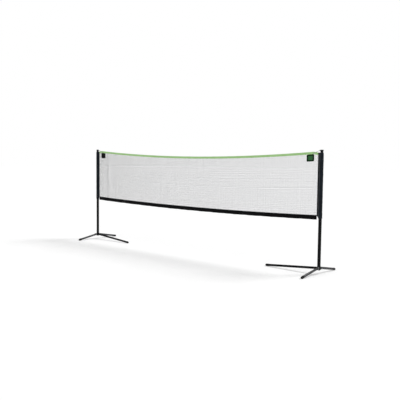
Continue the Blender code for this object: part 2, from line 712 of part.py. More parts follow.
def tie_cord(side, stand, material):
    """A short loop of cord from the screw eye to the eyelet, as long as the two ends need.

    Its line is two straight runs, TIE_LOOP_R in front of and behind the net, and a half circle at
    each end: one has its tip in the screw eye, and the other in the eyelet.
    """
    eye = Vector((EYE_X, 0, EYE_Z))
    hole = Vector((EYELET_FROM_POST, 0, tape_line(EYELET_X) + EYELET_LINE))
    along = (hole - eye).normalized()
    across = Vector((0, 1, 0))
    turn = np.linspace(-math.pi / 2, math.pi / 2, 7)
    bend = [TIE_LOOP_R * ((math.cos(a) - 1) * along + math.sin(a) * across) for a in turn]
    far_end = [hole + step for step in bend]
    near_end = [eye - step for step in bend]
    back_run = [far_end[-1].lerp(near_end[0], share) for share in (0.25, 0.5, 0.75)]
    front_run = [near_end[-1].lerp(far_end[0], share) for share in (0.25, 0.5, 0.75)]
    points = far_end + back_run + near_end + front_run

    curve = bpy.data.curves.new(side + "_tie_cord", "CURVE")
    curve.dimensions = "3D"
    curve.bevel_depth = TIE_CORD_R
    curve.bevel_resolution = 2
    line = curve.splines.new("POLY")
    line.points.add(len(points) - 1)
    for spot, point in zip(line.points, points):
        spot.co = (*point, 1)
    line.use_cyclic_u = True
    place(side + "_tie_cord", curve, material, stand)


def main():
    for old in list(bpy.data.objects):
        bpy.data.objects.remove(old)

    coat = finish("black_powder_coat", 0.012, 0.013, 0.015, 0.42)
    plastic = finish("black_nylon", 0.016, 0.017, 0.018, 0.55)
    dark_plastic = finish("charcoal_nylon", 0.030, 0.032, 0.034, 0.50)
    rubber = finish("black_rubber", 0.020, 0.020, 0.021, 0.80)
    steel = finish("zinc_plated_steel", 0.52, 0.53, 0.54, 0.32, 1.0)
    black_cloth = finish("black_polyester", 0.012, 0.013, 0.016, 0.88)
    green_cloth = finish("lime_webbing", 0.33, 0.60, 0.11, 0.80)
    mesh_cloth = finish("pale_knitted_mesh", 0.55, 0.55, 0.57, 0.90)
    green_patch = finish("dark_green_patch", 0.020, 0.075, 0.022, 0.70)
    black_patch = finish("black_patch", 0.015, 0.017, 0.016, 0.70)
    cord = finish("grey_cord", 0.30, 0.30, 0.31, 0.85)

    net = pivot("net_origin")
    top_tape(net, green_cloth)
    head_cord(net, cord)
    bottom_band(net, black_cloth)
    net_mesh(net, mesh_cloth)
    corner_patch("left_patch", net, -1, black_patch)
    corner_patch("right_patch", net, 1, green_patch)

    for side, facing, turn in (("left", -1, 0.0), ("right", 1, math.pi)):
        stand = pivot(side + "_stand", None, (facing * HALF_SPACING, 0, 0), (0, 0, turn))
        hub = hub_piece(side, stand, plastic)
        inner_leg(side, stand, hub, coat, rubber, steel)
        # The right stand is turned half way round, so its own +Y is the front.
        side_leg(side + "_front_leg", stand, hub, facing, coat, plastic, rubber, steel)
        side_leg(side + "_back_leg", stand, hub, -facing, coat, plastic, rubber, steel)
        post_tubes(side, stand, hub, coat, plastic, dark_plastic, steel)
        cap_and_eye(side, stand, plastic, steel)
        sleeve(side, stand, black_cloth)
        eyelet(side, stand, steel)
        tie_cord(side, stand, cord)


main()
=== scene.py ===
# %% [markdown]
# # A portable badminton net
#
# Two telescoping posts on three-legged stands hold a net between them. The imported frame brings
# every solid at its place. This file makes the soft goods from surfaces worked out with numpy,
# turns the round fittings again with finer edges, and gives each material its finish.

# %% The frame, and what belongs where
import json
import math

import bmesh
import bpy
import numpy as np
from mathutils import Matrix, Vector


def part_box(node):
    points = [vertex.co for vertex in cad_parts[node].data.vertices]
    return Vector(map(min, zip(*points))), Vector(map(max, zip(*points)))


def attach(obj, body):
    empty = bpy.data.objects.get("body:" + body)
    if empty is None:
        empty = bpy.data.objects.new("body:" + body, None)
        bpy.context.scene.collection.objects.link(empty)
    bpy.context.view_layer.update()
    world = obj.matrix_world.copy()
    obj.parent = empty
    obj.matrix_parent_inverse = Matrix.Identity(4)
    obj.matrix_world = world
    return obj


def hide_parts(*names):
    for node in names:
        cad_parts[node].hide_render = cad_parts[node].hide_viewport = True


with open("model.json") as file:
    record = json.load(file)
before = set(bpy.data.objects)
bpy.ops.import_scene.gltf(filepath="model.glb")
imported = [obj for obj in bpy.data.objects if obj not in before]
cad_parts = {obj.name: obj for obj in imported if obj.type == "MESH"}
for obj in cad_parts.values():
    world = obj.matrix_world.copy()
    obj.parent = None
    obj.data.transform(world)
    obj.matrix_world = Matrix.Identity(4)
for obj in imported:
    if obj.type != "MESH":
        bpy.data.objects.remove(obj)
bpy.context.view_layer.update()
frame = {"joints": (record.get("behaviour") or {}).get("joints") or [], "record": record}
BODY_OF = {node: body for body, nodes in frame["record"]["behaviour"]["bodies"].items() for node in nodes}
SLOT_OF = {part["node"]: part["material_slot"] for part in frame["record"]["subparts"]}
JOINTS = {joint["name"]: joint for joint in frame["joints"]}
SIDES = {"left": -1, "right": 1}


# %% [markdown]
# ## From arrays to pieces
#
# A surface is a grid of points: rows run along the piece and columns go round it. A ring repeats
# its first column as its last, so that its map has no smeared seam, and the doubles are merged
# afterwards. The map is in metres of cloth, so that a weave keeps its real scale on every piece.

# %% Grids, maps and meshes
MERGE_WITHIN = 1e-6


def grid_faces(rows, columns):
    """The corner numbers of each quad in a grid of points that are numbered row by row."""
    first = np.arange(rows - 1)[:, None] * columns + np.arange(columns - 1)[None, :]
    return np.stack([first, first + 1, first + columns + 1, first + columns], axis=-1).reshape(-1, 4)


def own_map(grid):
    """A map in metres: U is the distance gone along each row of points, and V along each column."""
    steps_u = np.linalg.norm(np.diff(grid, axis=1, prepend=grid[:, :1]), axis=2)
    steps_v = np.linalg.norm(np.diff(grid, axis=0, prepend=grid[:1]), axis=2)
    return np.stack([np.cumsum(steps_u, axis=1), np.cumsum(steps_v, axis=0)], axis=-1)


def make_mesh(name, points, faces, places, sharp_over=40):
    """A mesh from arrays, with its map, its doubles merged and its faces shaded smooth."""
    mesh = bpy.data.meshes.new(name)
    mesh.vertices.add(len(points))
    mesh.vertices.foreach_set("co", points.astype(np.float32).ravel())
    mesh.loops.add(faces.size)
    mesh.loops.foreach_set("vertex_index", faces.astype(np.int32).ravel())
    mesh.polygons.add(len(faces))
    mesh.polygons.foreach_set("loop_start", np.arange(len(faces), dtype=np.int32) * faces.shape[1])
    mesh.update(calc_edges=True)
    layer = mesh.uv_layers.new(name="cloth_map")
    layer.data.foreach_set("uv", places[faces.ravel()].astype(np.float32).ravel())
    bm = bmesh.new()
    bm.from_mesh(mesh)
    bmesh.ops.remove_doubles(bm, verts=bm.verts, dist=MERGE_WITHIN)
    bm.to_mesh(mesh)
    bm.free()
    mesh.shade_smooth()
    mesh.set_sharp_from_angle(angle=math.radians(sharp_over))
    return mesh


def close_mesh(mesh, fill=True):
    """Fills the open ends of a mesh and turns its faces outwards."""
    bm = bmesh.new()
    bm.from_mesh(mesh)
    if fill:
        bmesh.ops.holes_fill(bm, edges=[edge for edge in bm.edges if edge.is_boundary])
    bmesh.ops.recalc_face_normals(bm, faces=bm.faces)
    bm.to_mesh(mesh)
    bm.free()


def new_piece(name, mesh, material, node, stands_for=()):
    """An object that rides on a CAD node's body, takes the material given, and stands for the nodes named.
    """
    piece = bpy.data.objects.new(name, mesh)
    bpy.context.scene.collection.objects.link(piece)
    mesh.materials.append(material)
    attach(piece, BODY_OF[node])
    if stands_for:
        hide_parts(*stands_for)
    return piece


def joined(parts):
    """Several sets of points, faces and maps as one."""
    counts = np.cumsum([0] + [len(points) for points, _, _ in parts[:-1]])
    faces = np.concatenate([faces + start for (_, faces, _), start in zip(parts, counts)])
    return np.concatenate([part[0] for part in parts]), faces, np.concatenate([part[2] for part in parts])


def grid_mesh(name, *grids, fill=True, sharp_over=40):
    """One mesh of one or more grids, each with its own map in metres."""
    parts = [
        (grid.reshape(-1, 3), grid_faces(*grid.shape[:2]), own_map(grid).reshape(-1, 2)) for grid in grids
    ]
    mesh = make_mesh(name, *joined(parts), sharp_over)
    close_mesh(mesh, fill)
    return mesh


# %% [markdown]
# ## Finishes
#
# Each finish starts from what the real material is. Two helpers are enough: one turns the hex
# value of a paint chip into the linear numbers that a shader works with, and one adds a node with
# its settings and links.

# %% Colour and node helpers


def linear(chip):
    """A hex colour as linear RGBA: each channel c becomes ((c + 0.055) / 1.055) ** 2.4."""
    channels = [int(chip[i : i + 2], 16) / 255 for i in (1, 3, 5)]
    return (*[c / 12.92 if c <= 0.04045 else ((c + 0.055) / 1.055) ** 2.4 for c in channels], 1.0)


def add_node(tree, kind, inputs, **settings):
    """A node with its own settings, and each input set to a value or linked to another's output."""
    node = tree.nodes.new(kind)
    for name, value in settings.items():
        setattr(node, name, value)
    for socket, value in inputs.items():
        if isinstance(value, bpy.types.NodeSocket):
            tree.links.new(value, node.inputs[socket])
        else:
            node.inputs[socket].default_value = value
    return node


def new_finish(name, roughness, specular=0.5, metallic=0.0, sheen=0.0):
    """A material with one Principled shader, whose constants sit on its own sockets."""
    material = bpy.data.materials.new(name)
    material.use_nodes = True
    tree = material.node_tree
    shader = tree.nodes["Principled BSDF"]
    shader.inputs["Roughness"].default_value = roughness
    shader.inputs["Metallic"].default_value = metallic
    shader.inputs["Specular IOR Level"].default_value = specular
    shader.inputs["Sheen Weight"].default_value = sheen
    return material, tree, shader


def blend_colours(tree, share, *colours):
    """The colour between two at a share from 0 to 1. Each is a hex chip or a node's output."""
    first, second = (linear(colour) if isinstance(colour, str) else colour for colour in colours)
    return add_node(tree, "ShaderNodeMix", {0: share, 6: first, 7: second}, data_type="RGBA").outputs[2]


def cloudy(tree, size, detail=3.0):
    """Noise from 0 to 1 on the object's own coordinates, with patches about as wide as size."""
    place = add_node(tree, "ShaderNodeTexCoord", {}).outputs["Object"]
    inputs = {"Vector": place, "Scale": 1 / size, "Detail": detail}
    return add_node(tree, "ShaderNodeTexNoise", inputs).outputs[0]


def spread(tree, value, low, high, to_low=0.0, to_high=1.0):
    """A value carried from one range to another, and clamped there."""
    inputs = {0: value, 1: low, 2: high, 3: to_low, 4: to_high}
    return add_node(tree, "ShaderNodeMapRange", inputs).outputs[0]


def calculate(tree, operation, first, second=0.0):
    """One step of arithmetic on one or two values."""
    return add_node(tree, "ShaderNodeMath", {0: first, 1: second}, operation=operation).outputs[0]


def finished(material, colour, height, depth, strength):
    """A material with its colour, and bumps by a height from 0 to 1 that stands for some metres."""
    tree = material.node_tree
    shader = tree.nodes["Principled BSDF"]
    bump = add_node(tree, "ShaderNodeBump", {"Height": height, "Distance": depth, "Strength": strength})
    tree.links.new(colour, shader.inputs["Base Color"])
    tree.links.new(bump.outputs[0], shader.inputs["Normal"])
    return material


# %% [markdown]
# ### Powder coat, nylon, rubber and zinc
#
# The tubes are steel with a black powder coat: it melts into a skin with a slight orange peel, so
# its shine is broad and a little uneven. The hubs, caps and collars are moulded nylon with a
# spark-eroded grain, duller than the tubes. The feet are rubber that has picked up floor dust. The
# rivets, screws and eyelets are steel with a bright zinc plate.

# %% Finishes of the hard parts
MILLIMETRE = 0.001


def powder_coat(name, chip, worn_chip, roughness, specular):
    """Black powder coat: orange peel of about 2 mm, and soft rubbed patches as long as a hand."""
    material, tree, shader = new_finish(name, roughness, specular=specular)
    peel = cloudy(tree, 2 * MILLIMETRE, 2.0)
    rubbed = spread(tree, cloudy(tree, 90 * MILLIMETRE), 0.52, 0.72)
    tree.links.new(spread(tree, rubbed, 0, 1, roughness, roughness - 0.08), shader.inputs["Roughness"])
    return finished(material, blend_colours(tree, rubbed, chip, worn_chip), peel, 0.12 * MILLIMETRE, 0.5)


def moulded_nylon(name, chip, pale_chip, roughness):
    """Glass-filled nylon: a spark-eroded grain of 0.8 mm, and faint flow marks of some 15 mm."""
    material, tree, _ = new_finish(name, roughness, specular=0.22)
    grain = cloudy(tree, 0.8 * MILLIMETRE, 4.0)
    flow = spread(tree, cloudy(tree, 15 * MILLIMETRE), 0.4, 0.75)
    return finished(material, blend_colours(tree, flow, chip, pale_chip), grain, 0.15 * MILLIMETRE, 0.6)


def dusty_matt(name, chip, dust_chip):
    """Matt rubber or cord, greyer with dust in its lowest 12 mm and in cloudy patches above."""
    material, tree, _ = new_finish(name, 0.82, specular=0.28)
    place = add_node(tree, "ShaderNodeTexCoord", {}).outputs["Object"]
    height = add_node(tree, "ShaderNodeSeparateXYZ", {0: place}).outputs[2]
    low = spread(tree, height, 12 * MILLIMETRE, 0.0, 0.0, 0.6)
    clouds = spread(tree, cloudy(tree, 6 * MILLIMETRE), 0.45, 0.8, 0.0, 0.45)
    dust = calculate(tree, "MAXIMUM", low, clouds)
    grain = cloudy(tree, 1.2 * MILLIMETRE)
    return finished(material, blend_colours(tree, dust, chip, dust_chip), grain, 0.2 * MILLIMETRE, 0.6)


def zinc_plate(name, chip, dull_chip):
    """Bright zinc over steel: a metal, with duller patches where fingers and the tool touched it."""
    material, tree, shader = new_finish(name, 0.3, metallic=1.0)
    dull = spread(tree, cloudy(tree, 4 * MILLIMETRE), 0.35, 0.7)
    tree.links.new(spread(tree, dull, 0, 1, 0.24, 0.42), shader.inputs["Roughness"])
    grain = cloudy(tree, 0.7 * MILLIMETRE)
    return finished(material, blend_colours(tree, dull, chip, dull_chip), grain, 0.05 * MILLIMETRE, 0.5)


BLACK_COAT = powder_coat("black_powder_coat", "#050507", "#0f1013", 0.42, 0.12)
# The side legs' coat is a lighter, shinier grey copy of the black coat: painted light for their lit flanks
LIT_LEG_COAT = powder_coat("lit_grey_powder_coat", "#242528", "#343539", 0.40, 0.40)
BLACK_NYLON = moulded_nylon("black_nylon", "#0c0d0f", "#17181a", 0.5)
CHARCOAL_NYLON = moulded_nylon("charcoal_nylon", "#1c1e21", "#282a2e", 0.5)
BLACK_RUBBER = dusty_matt("black_rubber", "#161617", "#4a4947")
ZINC_STEEL = zinc_plate("zinc_plated_steel", "#c3c7cc", "#9fa3a8")

# %% [markdown]
# ### Cloth, webbing, yarn and cord
#
# All the soft goods are polyester. What the eye tells them apart by is the weave: the sleeves and
# the bottom band are a plain weave, the top tape is a ribbed webbing, the mesh is knitted from
# twisted yarn, and the tie cords are braided. Real threads are 0.3 to 0.6 mm apart, too fine to
# show from a few steps away, so the weaves are drawn two to three times as coarse.

# %% Finishes of the soft goods
NET_REACH = 2.2  # the yarn's painted shade changes between minus and plus this far across
LEFT_FADE = 0.7  # power of the change: below 1, most of it happens at the left

def waves(tree, axis, spacing, shift=0.0):
    """sin(2 pi distance / spacing) along one axis of the piece's own map, from -1 to 1."""
    place = add_node(tree, "ShaderNodeUVMap", {}, uv_map="cloth_map").outputs[0]
    distance = add_node(tree, "ShaderNodeSeparateXYZ", {0: place}).outputs[axis]
    turns = calculate(tree, "MULTIPLY", distance, math.tau / spacing)
    return calculate(tree, "SINE", calculate(tree, "ADD", turns, shift))


def plain_weave(tree, spacing):
    """Height of a plain weave, 0 to 1: the product of a wave each way lifts every other crossing."""
    crossing = calculate(tree, "MULTIPLY", waves(tree, 0, 2 * spacing), waves(tree, 1, 2 * spacing))
    return spread(tree, crossing, -1, 1)


def woven_cloth(name, chip, pale_chip, spacing=1.2 * MILLIMETRE, sheen=0.25):
    """Oxford polyester: crossings paler than the gaps, which are painted shade, and clouds where the cloth
    was handled.
    """
    material, tree, shader = new_finish(name, 0.86, specular=0.12, sheen=sheen)
    shader.inputs["Sheen Roughness"].default_value = 0.45
    weave = plain_weave(tree, spacing)
    clouds = spread(tree, cloudy(tree, 60 * MILLIMETRE), 0.4, 0.75, 0.0, 0.6)
    # The weave's part of the share paints shade into the gaps between crossings; the clouds are handling
    # marks
    share = calculate(tree, "ADD", clouds, calculate(tree, "MULTIPLY", weave, 0.4))
    return finished(material, blend_colours(tree, share, chip, pale_chip), weave, 0.25 * MILLIMETRE, 0.8)


def ribbed_webbing(name, chip, pale_chip, rib=2.4 * MILLIMETRE):
    """Webbing: ribs across its width, each a round ridge, with the warp threads fine between them."""
    material, tree, shader = new_finish(name, 0.78, specular=0.3, sheen=0.35)
    shader.inputs["Sheen Roughness"].default_value = 0.4
    ridge = spread(tree, waves(tree, 1, rib), -1, 1)
    warp = spread(tree, waves(tree, 0, rib / 2), -1, 1)
    ridge_share = calculate(tree, "MULTIPLY", ridge, 0.7)
    height = calculate(tree, "ADD", ridge_share, calculate(tree, "MULTIPLY", warp, 0.3))
    fade = spread(tree, cloudy(tree, 120 * MILLIMETRE), 0.35, 0.7, 0.0, 0.5)
    # The ribs' height also darkens the grooves between them as painted shade; the fade is the webbing's own
    # uneven tone
    share = calculate(tree, "ADD", fade, calculate(tree, "MULTIPLY", height, 0.5))
    return finished(material, blend_colours(tree, share, chip, pale_chip), height, 0.3 * MILLIMETRE, 0.7)


def twisted_yarn(name, chip, pale_chip, pitch, ply_width, bump_depth, left_shade_chip=None):
    """Yarn or braid: slanting waves round and along a strand show its plies, whose grooves are painted
    darker as shade. Its left may be painted darker as shade.
    """
    material, tree, shader = new_finish(name, 0.88, specular=0.25, sheen=0.3)
    shader.inputs["Sheen Roughness"].default_value = 0.5
    place = add_node(tree, "ShaderNodeUVMap", {}, uv_map="cloth_map").outputs[0]
    split = add_node(tree, "ShaderNodeSeparateXYZ", {0: place})
    round_it = calculate(tree, "MULTIPLY", split.outputs[0], math.tau / ply_width)
    along = calculate(tree, "MULTIPLY", split.outputs[1], math.tau / pitch)
    plies = spread(tree, calculate(tree, "SINE", calculate(tree, "ADD", round_it, along)), -1, 1)
    # The plies' grooves take the darker chip as painted shade, and their crests the paler one
    colour = blend_colours(tree, plies, chip, pale_chip)
    # Painted shade: the yarn is drawn darker towards the left post, by its own x
    if left_shade_chip:
        where = add_node(tree, "ShaderNodeTexCoord", {}).outputs["Object"]
        x = add_node(tree, "ShaderNodeSeparateXYZ", {0: where}).outputs[0]
        share = calculate(tree, "POWER", spread(tree, x, -NET_REACH, NET_REACH), LEFT_FADE)
        colour = blend_colours(tree, share, left_shade_chip, colour)
    return finished(material, colour, plies, bump_depth, 0.8)


BLACK_CLOTH = woven_cloth("black_oxford_polyester", "#030304", "#0b0b0d", sheen=0.02)
SLEEVE_CLOTH = woven_cloth("blue_black_oxford_polyester", "#0e1318", "#20272f", sheen=0.2)
LIME_WEBBING = ribbed_webbing("lime_polyester_webbing", "#9dcb80", "#b6e29c")
YARN_PLIES = (6 * MILLIMETRE, 2.5 * MILLIMETRE, 0.3 * MILLIMETRE)  # pitch, width and depth
CORD_PLIES = (7 * MILLIMETRE, 3.2 * MILLIMETRE, 0.3 * MILLIMETRE)
THREAD_PLIES = (2 * MILLIMETRE, MILLIMETRE, 0.1 * MILLIMETRE)
# The net's yarn is painted darker towards its left end as shade
PALE_YARN = twisted_yarn("pale_knitted_yarn", "#a6a7ab", "#b8b9bd", *YARN_PLIES, left_shade_chip="#141415")
GREY_CORD = twisted_yarn("grey_braided_cord", "#8b8c8f", "#b3b4b6", *CORD_PLIES)
# The head cord keeps its solid, which has no map of its own for the plies
HEAD_CORD_FINISH = dusty_matt("grey_cord_core", "#8b8c8f", "#a3a4a6")
BLACK_THREAD = twisted_yarn("black_thread", "#1d1f23", "#34373c", *THREAD_PLIES)
LIME_THREAD = twisted_yarn("pale_lime_thread", "#b8dc92", "#d2edb4", *THREAD_PLIES)


# %% [markdown]
# ## The lines that the net follows
#
# The tape hangs in a shallow parabola between the two eyelets, where the cords pull it up, and
# droops from each eyelet to the top of the sleeve. The band hangs in a flatter parabola. Both
# lines are read back from the boxes of their solids, so they stay true if the frame changes.

# %% Tape line, band line and the belly of the net
TAPE_HEIGHT = 0.030
BAND_HEIGHT = 0.056
BELLY_DEEP = 0.003  # how far the mesh swings out of its plane
BAND_SWING = 0.0025
BAND_WAVE = 1.4  # length of the band's wave
LONG_BELLY, SHORT_BELLY = 2.7, 1.3  # lengths of the mesh's two waves

tape_low, tape_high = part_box("top_tape")
band_low, band_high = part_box("bottom_band")
mesh_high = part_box("net_mesh")[1]
sleeve_low, sleeve_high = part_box("right_sleeve")
HALF_NET = tape_high.x
EYELET_X = sum(corner.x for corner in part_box("right_eyelet")) / 2
TAPE_PEAK = tape_high.z - TAPE_HEIGHT / 2
TAPE_SAG = tape_high.z - tape_low.z - TAPE_HEIGHT
TAPE_DROOP = tape_high.z - sleeve_high.z
BAND_END = band_high.z - BAND_HEIGHT / 2
BAND_SAG = band_high.z - band_low.z - BAND_HEIGHT


def tape_line(x):
    """Height of the tape's middle: peak - sag (1 - (x / eyelet)^2), and straight past the eyelets."""
    between = TAPE_SAG * (1 - (x / EYELET_X) ** 2)
    beyond = TAPE_DROOP * (np.abs(x) - EYELET_X) / (HALF_NET - EYELET_X)
    return TAPE_PEAK - np.where(np.abs(x) < EYELET_X, between, beyond)


def band_line(x):
    """Height of the band's middle: end - sag (1 - (x / half)^2)."""
    return BAND_END - BAND_SAG * (1 - (x / HALF_NET) ** 2)


def slack(x):
    """1 in the middle of the net and 0 at its ends, where the sleeves hold it."""
    return np.clip(1 - (x / EYELET_X) ** 2, 0, 1)


def band_swing(x):
    """The band's small swing across the net: one wave that dies out at the ends."""
    return BAND_SWING * slack(x) * np.sin(math.tau * x / BAND_WAVE + 1.0)


def net_swing(x, share):
    """How far the mesh is out of plane at a share of its height: the band's swing and two waves."""
    belly = np.sin(math.tau * x / LONG_BELLY + 0.6) + 0.4 * np.sin(math.tau * x / SHORT_BELLY + share)
    return (1 - share) * band_swing(x) + BELLY_DEEP * slack(x) * np.sin(math.pi * share) * belly


print(f"the tape's middle is at {TAPE_PEAK - TAPE_SAG:.3f} m, and its eyelets at {TAPE_PEAK:.3f} m")

# %% [markdown]
# ## The mesh
#
# A sports net of this kind is knitted: upright and level strands of yarn cross at small flat
# knots. A picture of a mesh on a flat sheet would look right from one side only, so each strand is
# a real tube here, flattened to a lens shape, and each knot is a small flattened diamond. The
# strands crowd together a little along the creases where the net was folded, and hang closer
# towards the left post, where the mesh has more slack.

# %% Strands and knots
CELL = 0.0105  # height of a cell
CLOSE_CELL, WIDE_CELL = 0.0080, 0.0122  # width of a cell at the left post, and far from it
UNEVEN = 0.16  # how far a strand may stray from its place, as a share of a cell
SLACK_RUN = 1.2  # how far from the left post the cells have widened by two thirds
STRAND_WIDTH = 0.0023
STRAND_DEPTH = 0.0018
KNOT_REACH = 0.0021
KNOT_DEPTH = 0.0022
MESH_TUCK = 0.006  # how far the strands run in under the tape and the band
YARN_SEED = 7
UPRIGHT_STEPS = 11
LEVEL_STEPS = 84
# Each fold's place, its width, and how much closer the strands are there
FOLDS_ACROSS = [(-1.93, 0.050, 0.28), (-0.62, 0.03, 0.08), (0.60, 0.03, 0.08), (1.80, 0.04, 0.06)]
FOLDS_ALONG = [(0.46, 0.022, 0.30), (0.71, 0.016, 0.16), (0.24, 0.016, 0.14)]


def crowded(places, folds):
    """Places drawn in towards each fold: p - amount (p - fold) exp(-((p - fold) / width)^2)."""
    middle, width, amount = (np.array(column)[:, None] for column in zip(*folds))
    away = places[None, :] - middle
    return places - (amount * away * np.exp(-((away / width) ** 2))).sum(axis=0)


def upright_places(half):
    """The uprights' places: widths of wide - (wide - close) exp(-distance / run), added up across."""
    x = np.linspace(-half, half, 2000)
    width = WIDE_CELL - (WIDE_CELL - CLOSE_CELL) * np.exp(-(x + half) / SLACK_RUN)
    cells = np.concatenate([[0], np.cumsum(np.diff(x) / width[1:])])
    return np.interp(np.linspace(0, cells[-1], round(cells[-1]) + 1), cells, x)


def mesh_point(x, share):
    """The place on the net at x and at a share of the height between the band and the tape."""
    x, share = np.broadcast_arrays(x, share)
    bottom = band_line(x) + BAND_HEIGHT / 2 - MESH_TUCK
    top = tape_line(x) - TAPE_HEIGHT / 2 + MESH_TUCK
    return np.stack([x, net_swing(x, share), bottom + share * (top - bottom)], axis=-1)


def strand_rings(lines, sideways):
    """Lens-shaped rings round each line: half the width sideways, and half the depth across the net."""
    ring = np.array([(1, 0), (0, 1), (-1, 0), (0, -1), (1, 0)], float)
    across = np.array([0, 1, 0]) * STRAND_DEPTH / 2
    reach = ring[:, :1] * sideways * STRAND_WIDTH / 2 + ring[:, 1:] * across
    return lines[:, :, None, :] + reach


def strand_set(lines, sideways):
    """Points, faces and map of a set of tubes: an array of strands x stations x ring points."""
    rings = strand_rings(lines, sideways)
    strands, stations, corners = rings.shape[:3]
    one = grid_faces(stations, corners)
    faces = (one[None] + np.arange(strands)[:, None, None] * stations * corners).reshape(-1, 4)
    along = np.cumsum(np.linalg.norm(np.diff(lines, axis=1, prepend=lines[:, :1]), axis=2), axis=1)
    round_it = np.linspace(0, 2 * (STRAND_WIDTH + STRAND_DEPTH), corners)
    places = np.stack(np.broadcast_arrays(round_it[None, None, :], along[:, :, None]), axis=-1)
    return rings.reshape(-1, 3), faces, places.reshape(-1, 2)


def knot_set(name, places):
    """One piece of small diamonds, one at each place."""
    diamond = np.array([(1, 0, 0), (0, 0, 1), (-1, 0, 0), (0, 0, -1), (0, 1, 0), (0, -1, 0)], float)
    diamond *= (KNOT_REACH, KNOT_DEPTH / 2, KNOT_REACH)
    corners = np.array([(i, (i + 1) % 4, tip) for tip in (4, 5) for i in range(4)])
    points = (places[:, None, :] + diamond).reshape(-1, 3)
    faces = (corners[None] + np.arange(len(places))[:, None, None] * len(diamond)).reshape(-1, 3)
    mesh = make_mesh(name, points, faces, np.tile(diamond[:, [0, 2]], (len(places), 1)), sharp_over=180)
    close_mesh(mesh, fill=False)
    return new_piece(name, mesh, PALE_YARN, "net_mesh")


half_mesh = mesh_high.x
random = np.random.default_rng(YARN_SEED)
columns = crowded(upright_places(half_mesh), FOLDS_ACROSS)
columns[1:-1] += random.uniform(-UNEVEN, UNEVEN, len(columns) - 2) * np.diff(columns)[1:]
net_height = float(tape_line(0.0) - band_line(0.0)) - (TAPE_HEIGHT + BAND_HEIGHT) / 2
levels = crowded(np.linspace(0, 1, round(net_height / CELL) + 1)[1:-1], FOLDS_ALONG)
levels += random.uniform(-UNEVEN, UNEVEN, len(levels)) * CELL / net_height
uprights = mesh_point(columns[:, None], np.linspace(0, 1, UPRIGHT_STEPS)[None, :])
level_x = np.linspace(-half_mesh, half_mesh, LEVEL_STEPS)
level_lines = mesh_point(level_x[None, :], levels[:, None])
crossings = mesh_point(columns[:, None], levels[None, :]).reshape(-1, 3)

strands = joined([
    strand_set(uprights, np.array([1.0, 0, 0])),
    strand_set(level_lines, np.array([0, 0, 1.0])),
])
strand_mesh = make_mesh("net_mesh_strands", *strands, sharp_over=180)
close_mesh(strand_mesh)
net_mesh = new_piece("net_mesh_strands", strand_mesh, PALE_YARN, "net_mesh", ["net_mesh"])
net_knots = [
    knot_set("net_mesh_knots_left", crossings[crossings[:, 0] < 0]),
    knot_set("net_mesh_knots_right", crossings[crossings[:, 0] >= 0]),
]

print(f"{len(columns)} upright and {len(levels)} level strands, {len(crossings)} knots")

# %% [markdown]
# ## Turned shapes
#
# Most fittings of a telescoping post are round: a profile of radius and distance, turned about an
# axis. A real moulding has no knife edges, so each corner of a profile is softened with a small
# curve before it is turned. Sheets are given their wall afterwards, by a Solidify modifier.

# %% Turning a profile
ROUND_SIDES = 64
GAP = 0.0003  # between fittings that touch


def smooth_step(share):
    """3 t^2 - 2 t^3, which is level at both ends."""
    return share * share * (3 - 2 * share)


def softened(corners, reach, closed=True, steps=4):
    """Each corner c becomes (1-t)^2 a + 2t(1-t) c + t^2 b, with a and b up to reach away from it."""
    corners = np.array(corners, float)
    t = np.linspace(0, 1, steps)[None, :, None]

    def toward(other):
        """A point up to reach from each corner, on the way to another point."""
        gap = np.linalg.norm(other - corners, axis=1, keepdims=True)
        return (corners + (other - corners) * np.minimum(reach / np.maximum(gap, 1e-9), 0.45))[:, None]

    a, b = toward(np.roll(corners, 1, axis=0)), toward(np.roll(corners, -1, axis=0))
    curve = (1 - t) ** 2 * a + 2 * t * (1 - t) * corners[:, None] + t**2 * b
    if closed:
        line = curve.reshape(-1, 2)
        return np.concatenate([line, line[:1]])
    return np.concatenate([corners[:1], curve[1:-1].reshape(-1, 2), corners[-1:]])


def unit(vector):
    """The vector at a length of 1."""
    return np.array(vector, float) / np.linalg.norm(vector)


def turned(profile, centre, axis=(0, 0, 1), sides=ROUND_SIDES, carved=0.0):
    """centre + distance x axis + (radius - carved) x (cos a, sin a) across, at each point and angle a."""
    along = unit(axis)
    across = unit(np.cross(along, (0, 1, 0) if abs(along[1]) < 0.9 else (0, 0, 1)))
    turn = np.linspace(0, math.tau, sides + 1)[:, None]
    ring = np.cos(turn) * across + np.sin(turn) * np.cross(along, across)
    profile = np.array(profile, float)
    radius = (np.zeros((len(profile), sides + 1)) + profile[:, :1] - carved)[:, :, None]
    return np.array(centre, float) + profile[:, 1, None, None] * along + radius * ring[None]


def stand_in(node, material, *grids, sharp_over=35):
    """A finer piece in place of a CAD node."""
    mesh = grid_mesh(node + "_shaped", *grids, sharp_over=sharp_over)
    return new_piece(node + "_shaped", mesh, material, node, [node])


def apply_modifiers(piece):
    """Makes what the modifiers show the piece's own mesh."""
    seen = piece.evaluated_get(bpy.context.evaluated_depsgraph_get())
    piece.data = bpy.data.meshes.new_from_object(seen)
    piece.modifiers.clear()


def thicken(piece, thickness):
    """Gives a surface a wall, half of it on each side."""
    wall = piece.modifiers.new("wall", "SOLIDIFY")
    wall.thickness = thickness
    wall.offset = 0.0


def cloth_piece(name, grid, wall, material, node):
    """A sheet with a wall, in place of a CAD node."""
    piece = new_piece(name, grid_mesh(name, grid, fill=False), material, node, [node])
    thicken(piece, wall)
    return piece


# %% [markdown]
# ## Stitching
#
# Lock stitches are small raised ovals in a row, about 5 mm from one to the next. One oval of a few
# faces is worked out once and copied along every seam in one array.

# %% A row of stitches
STITCH_PITCH = 0.0052
STITCH = (0.0034, 0.0008, 0.0007)  # length, width and height
STITCH_SIDES = 5
FRONT, BACK = np.array([0, -1.0, 0]), np.array([0, 1.0, 0])


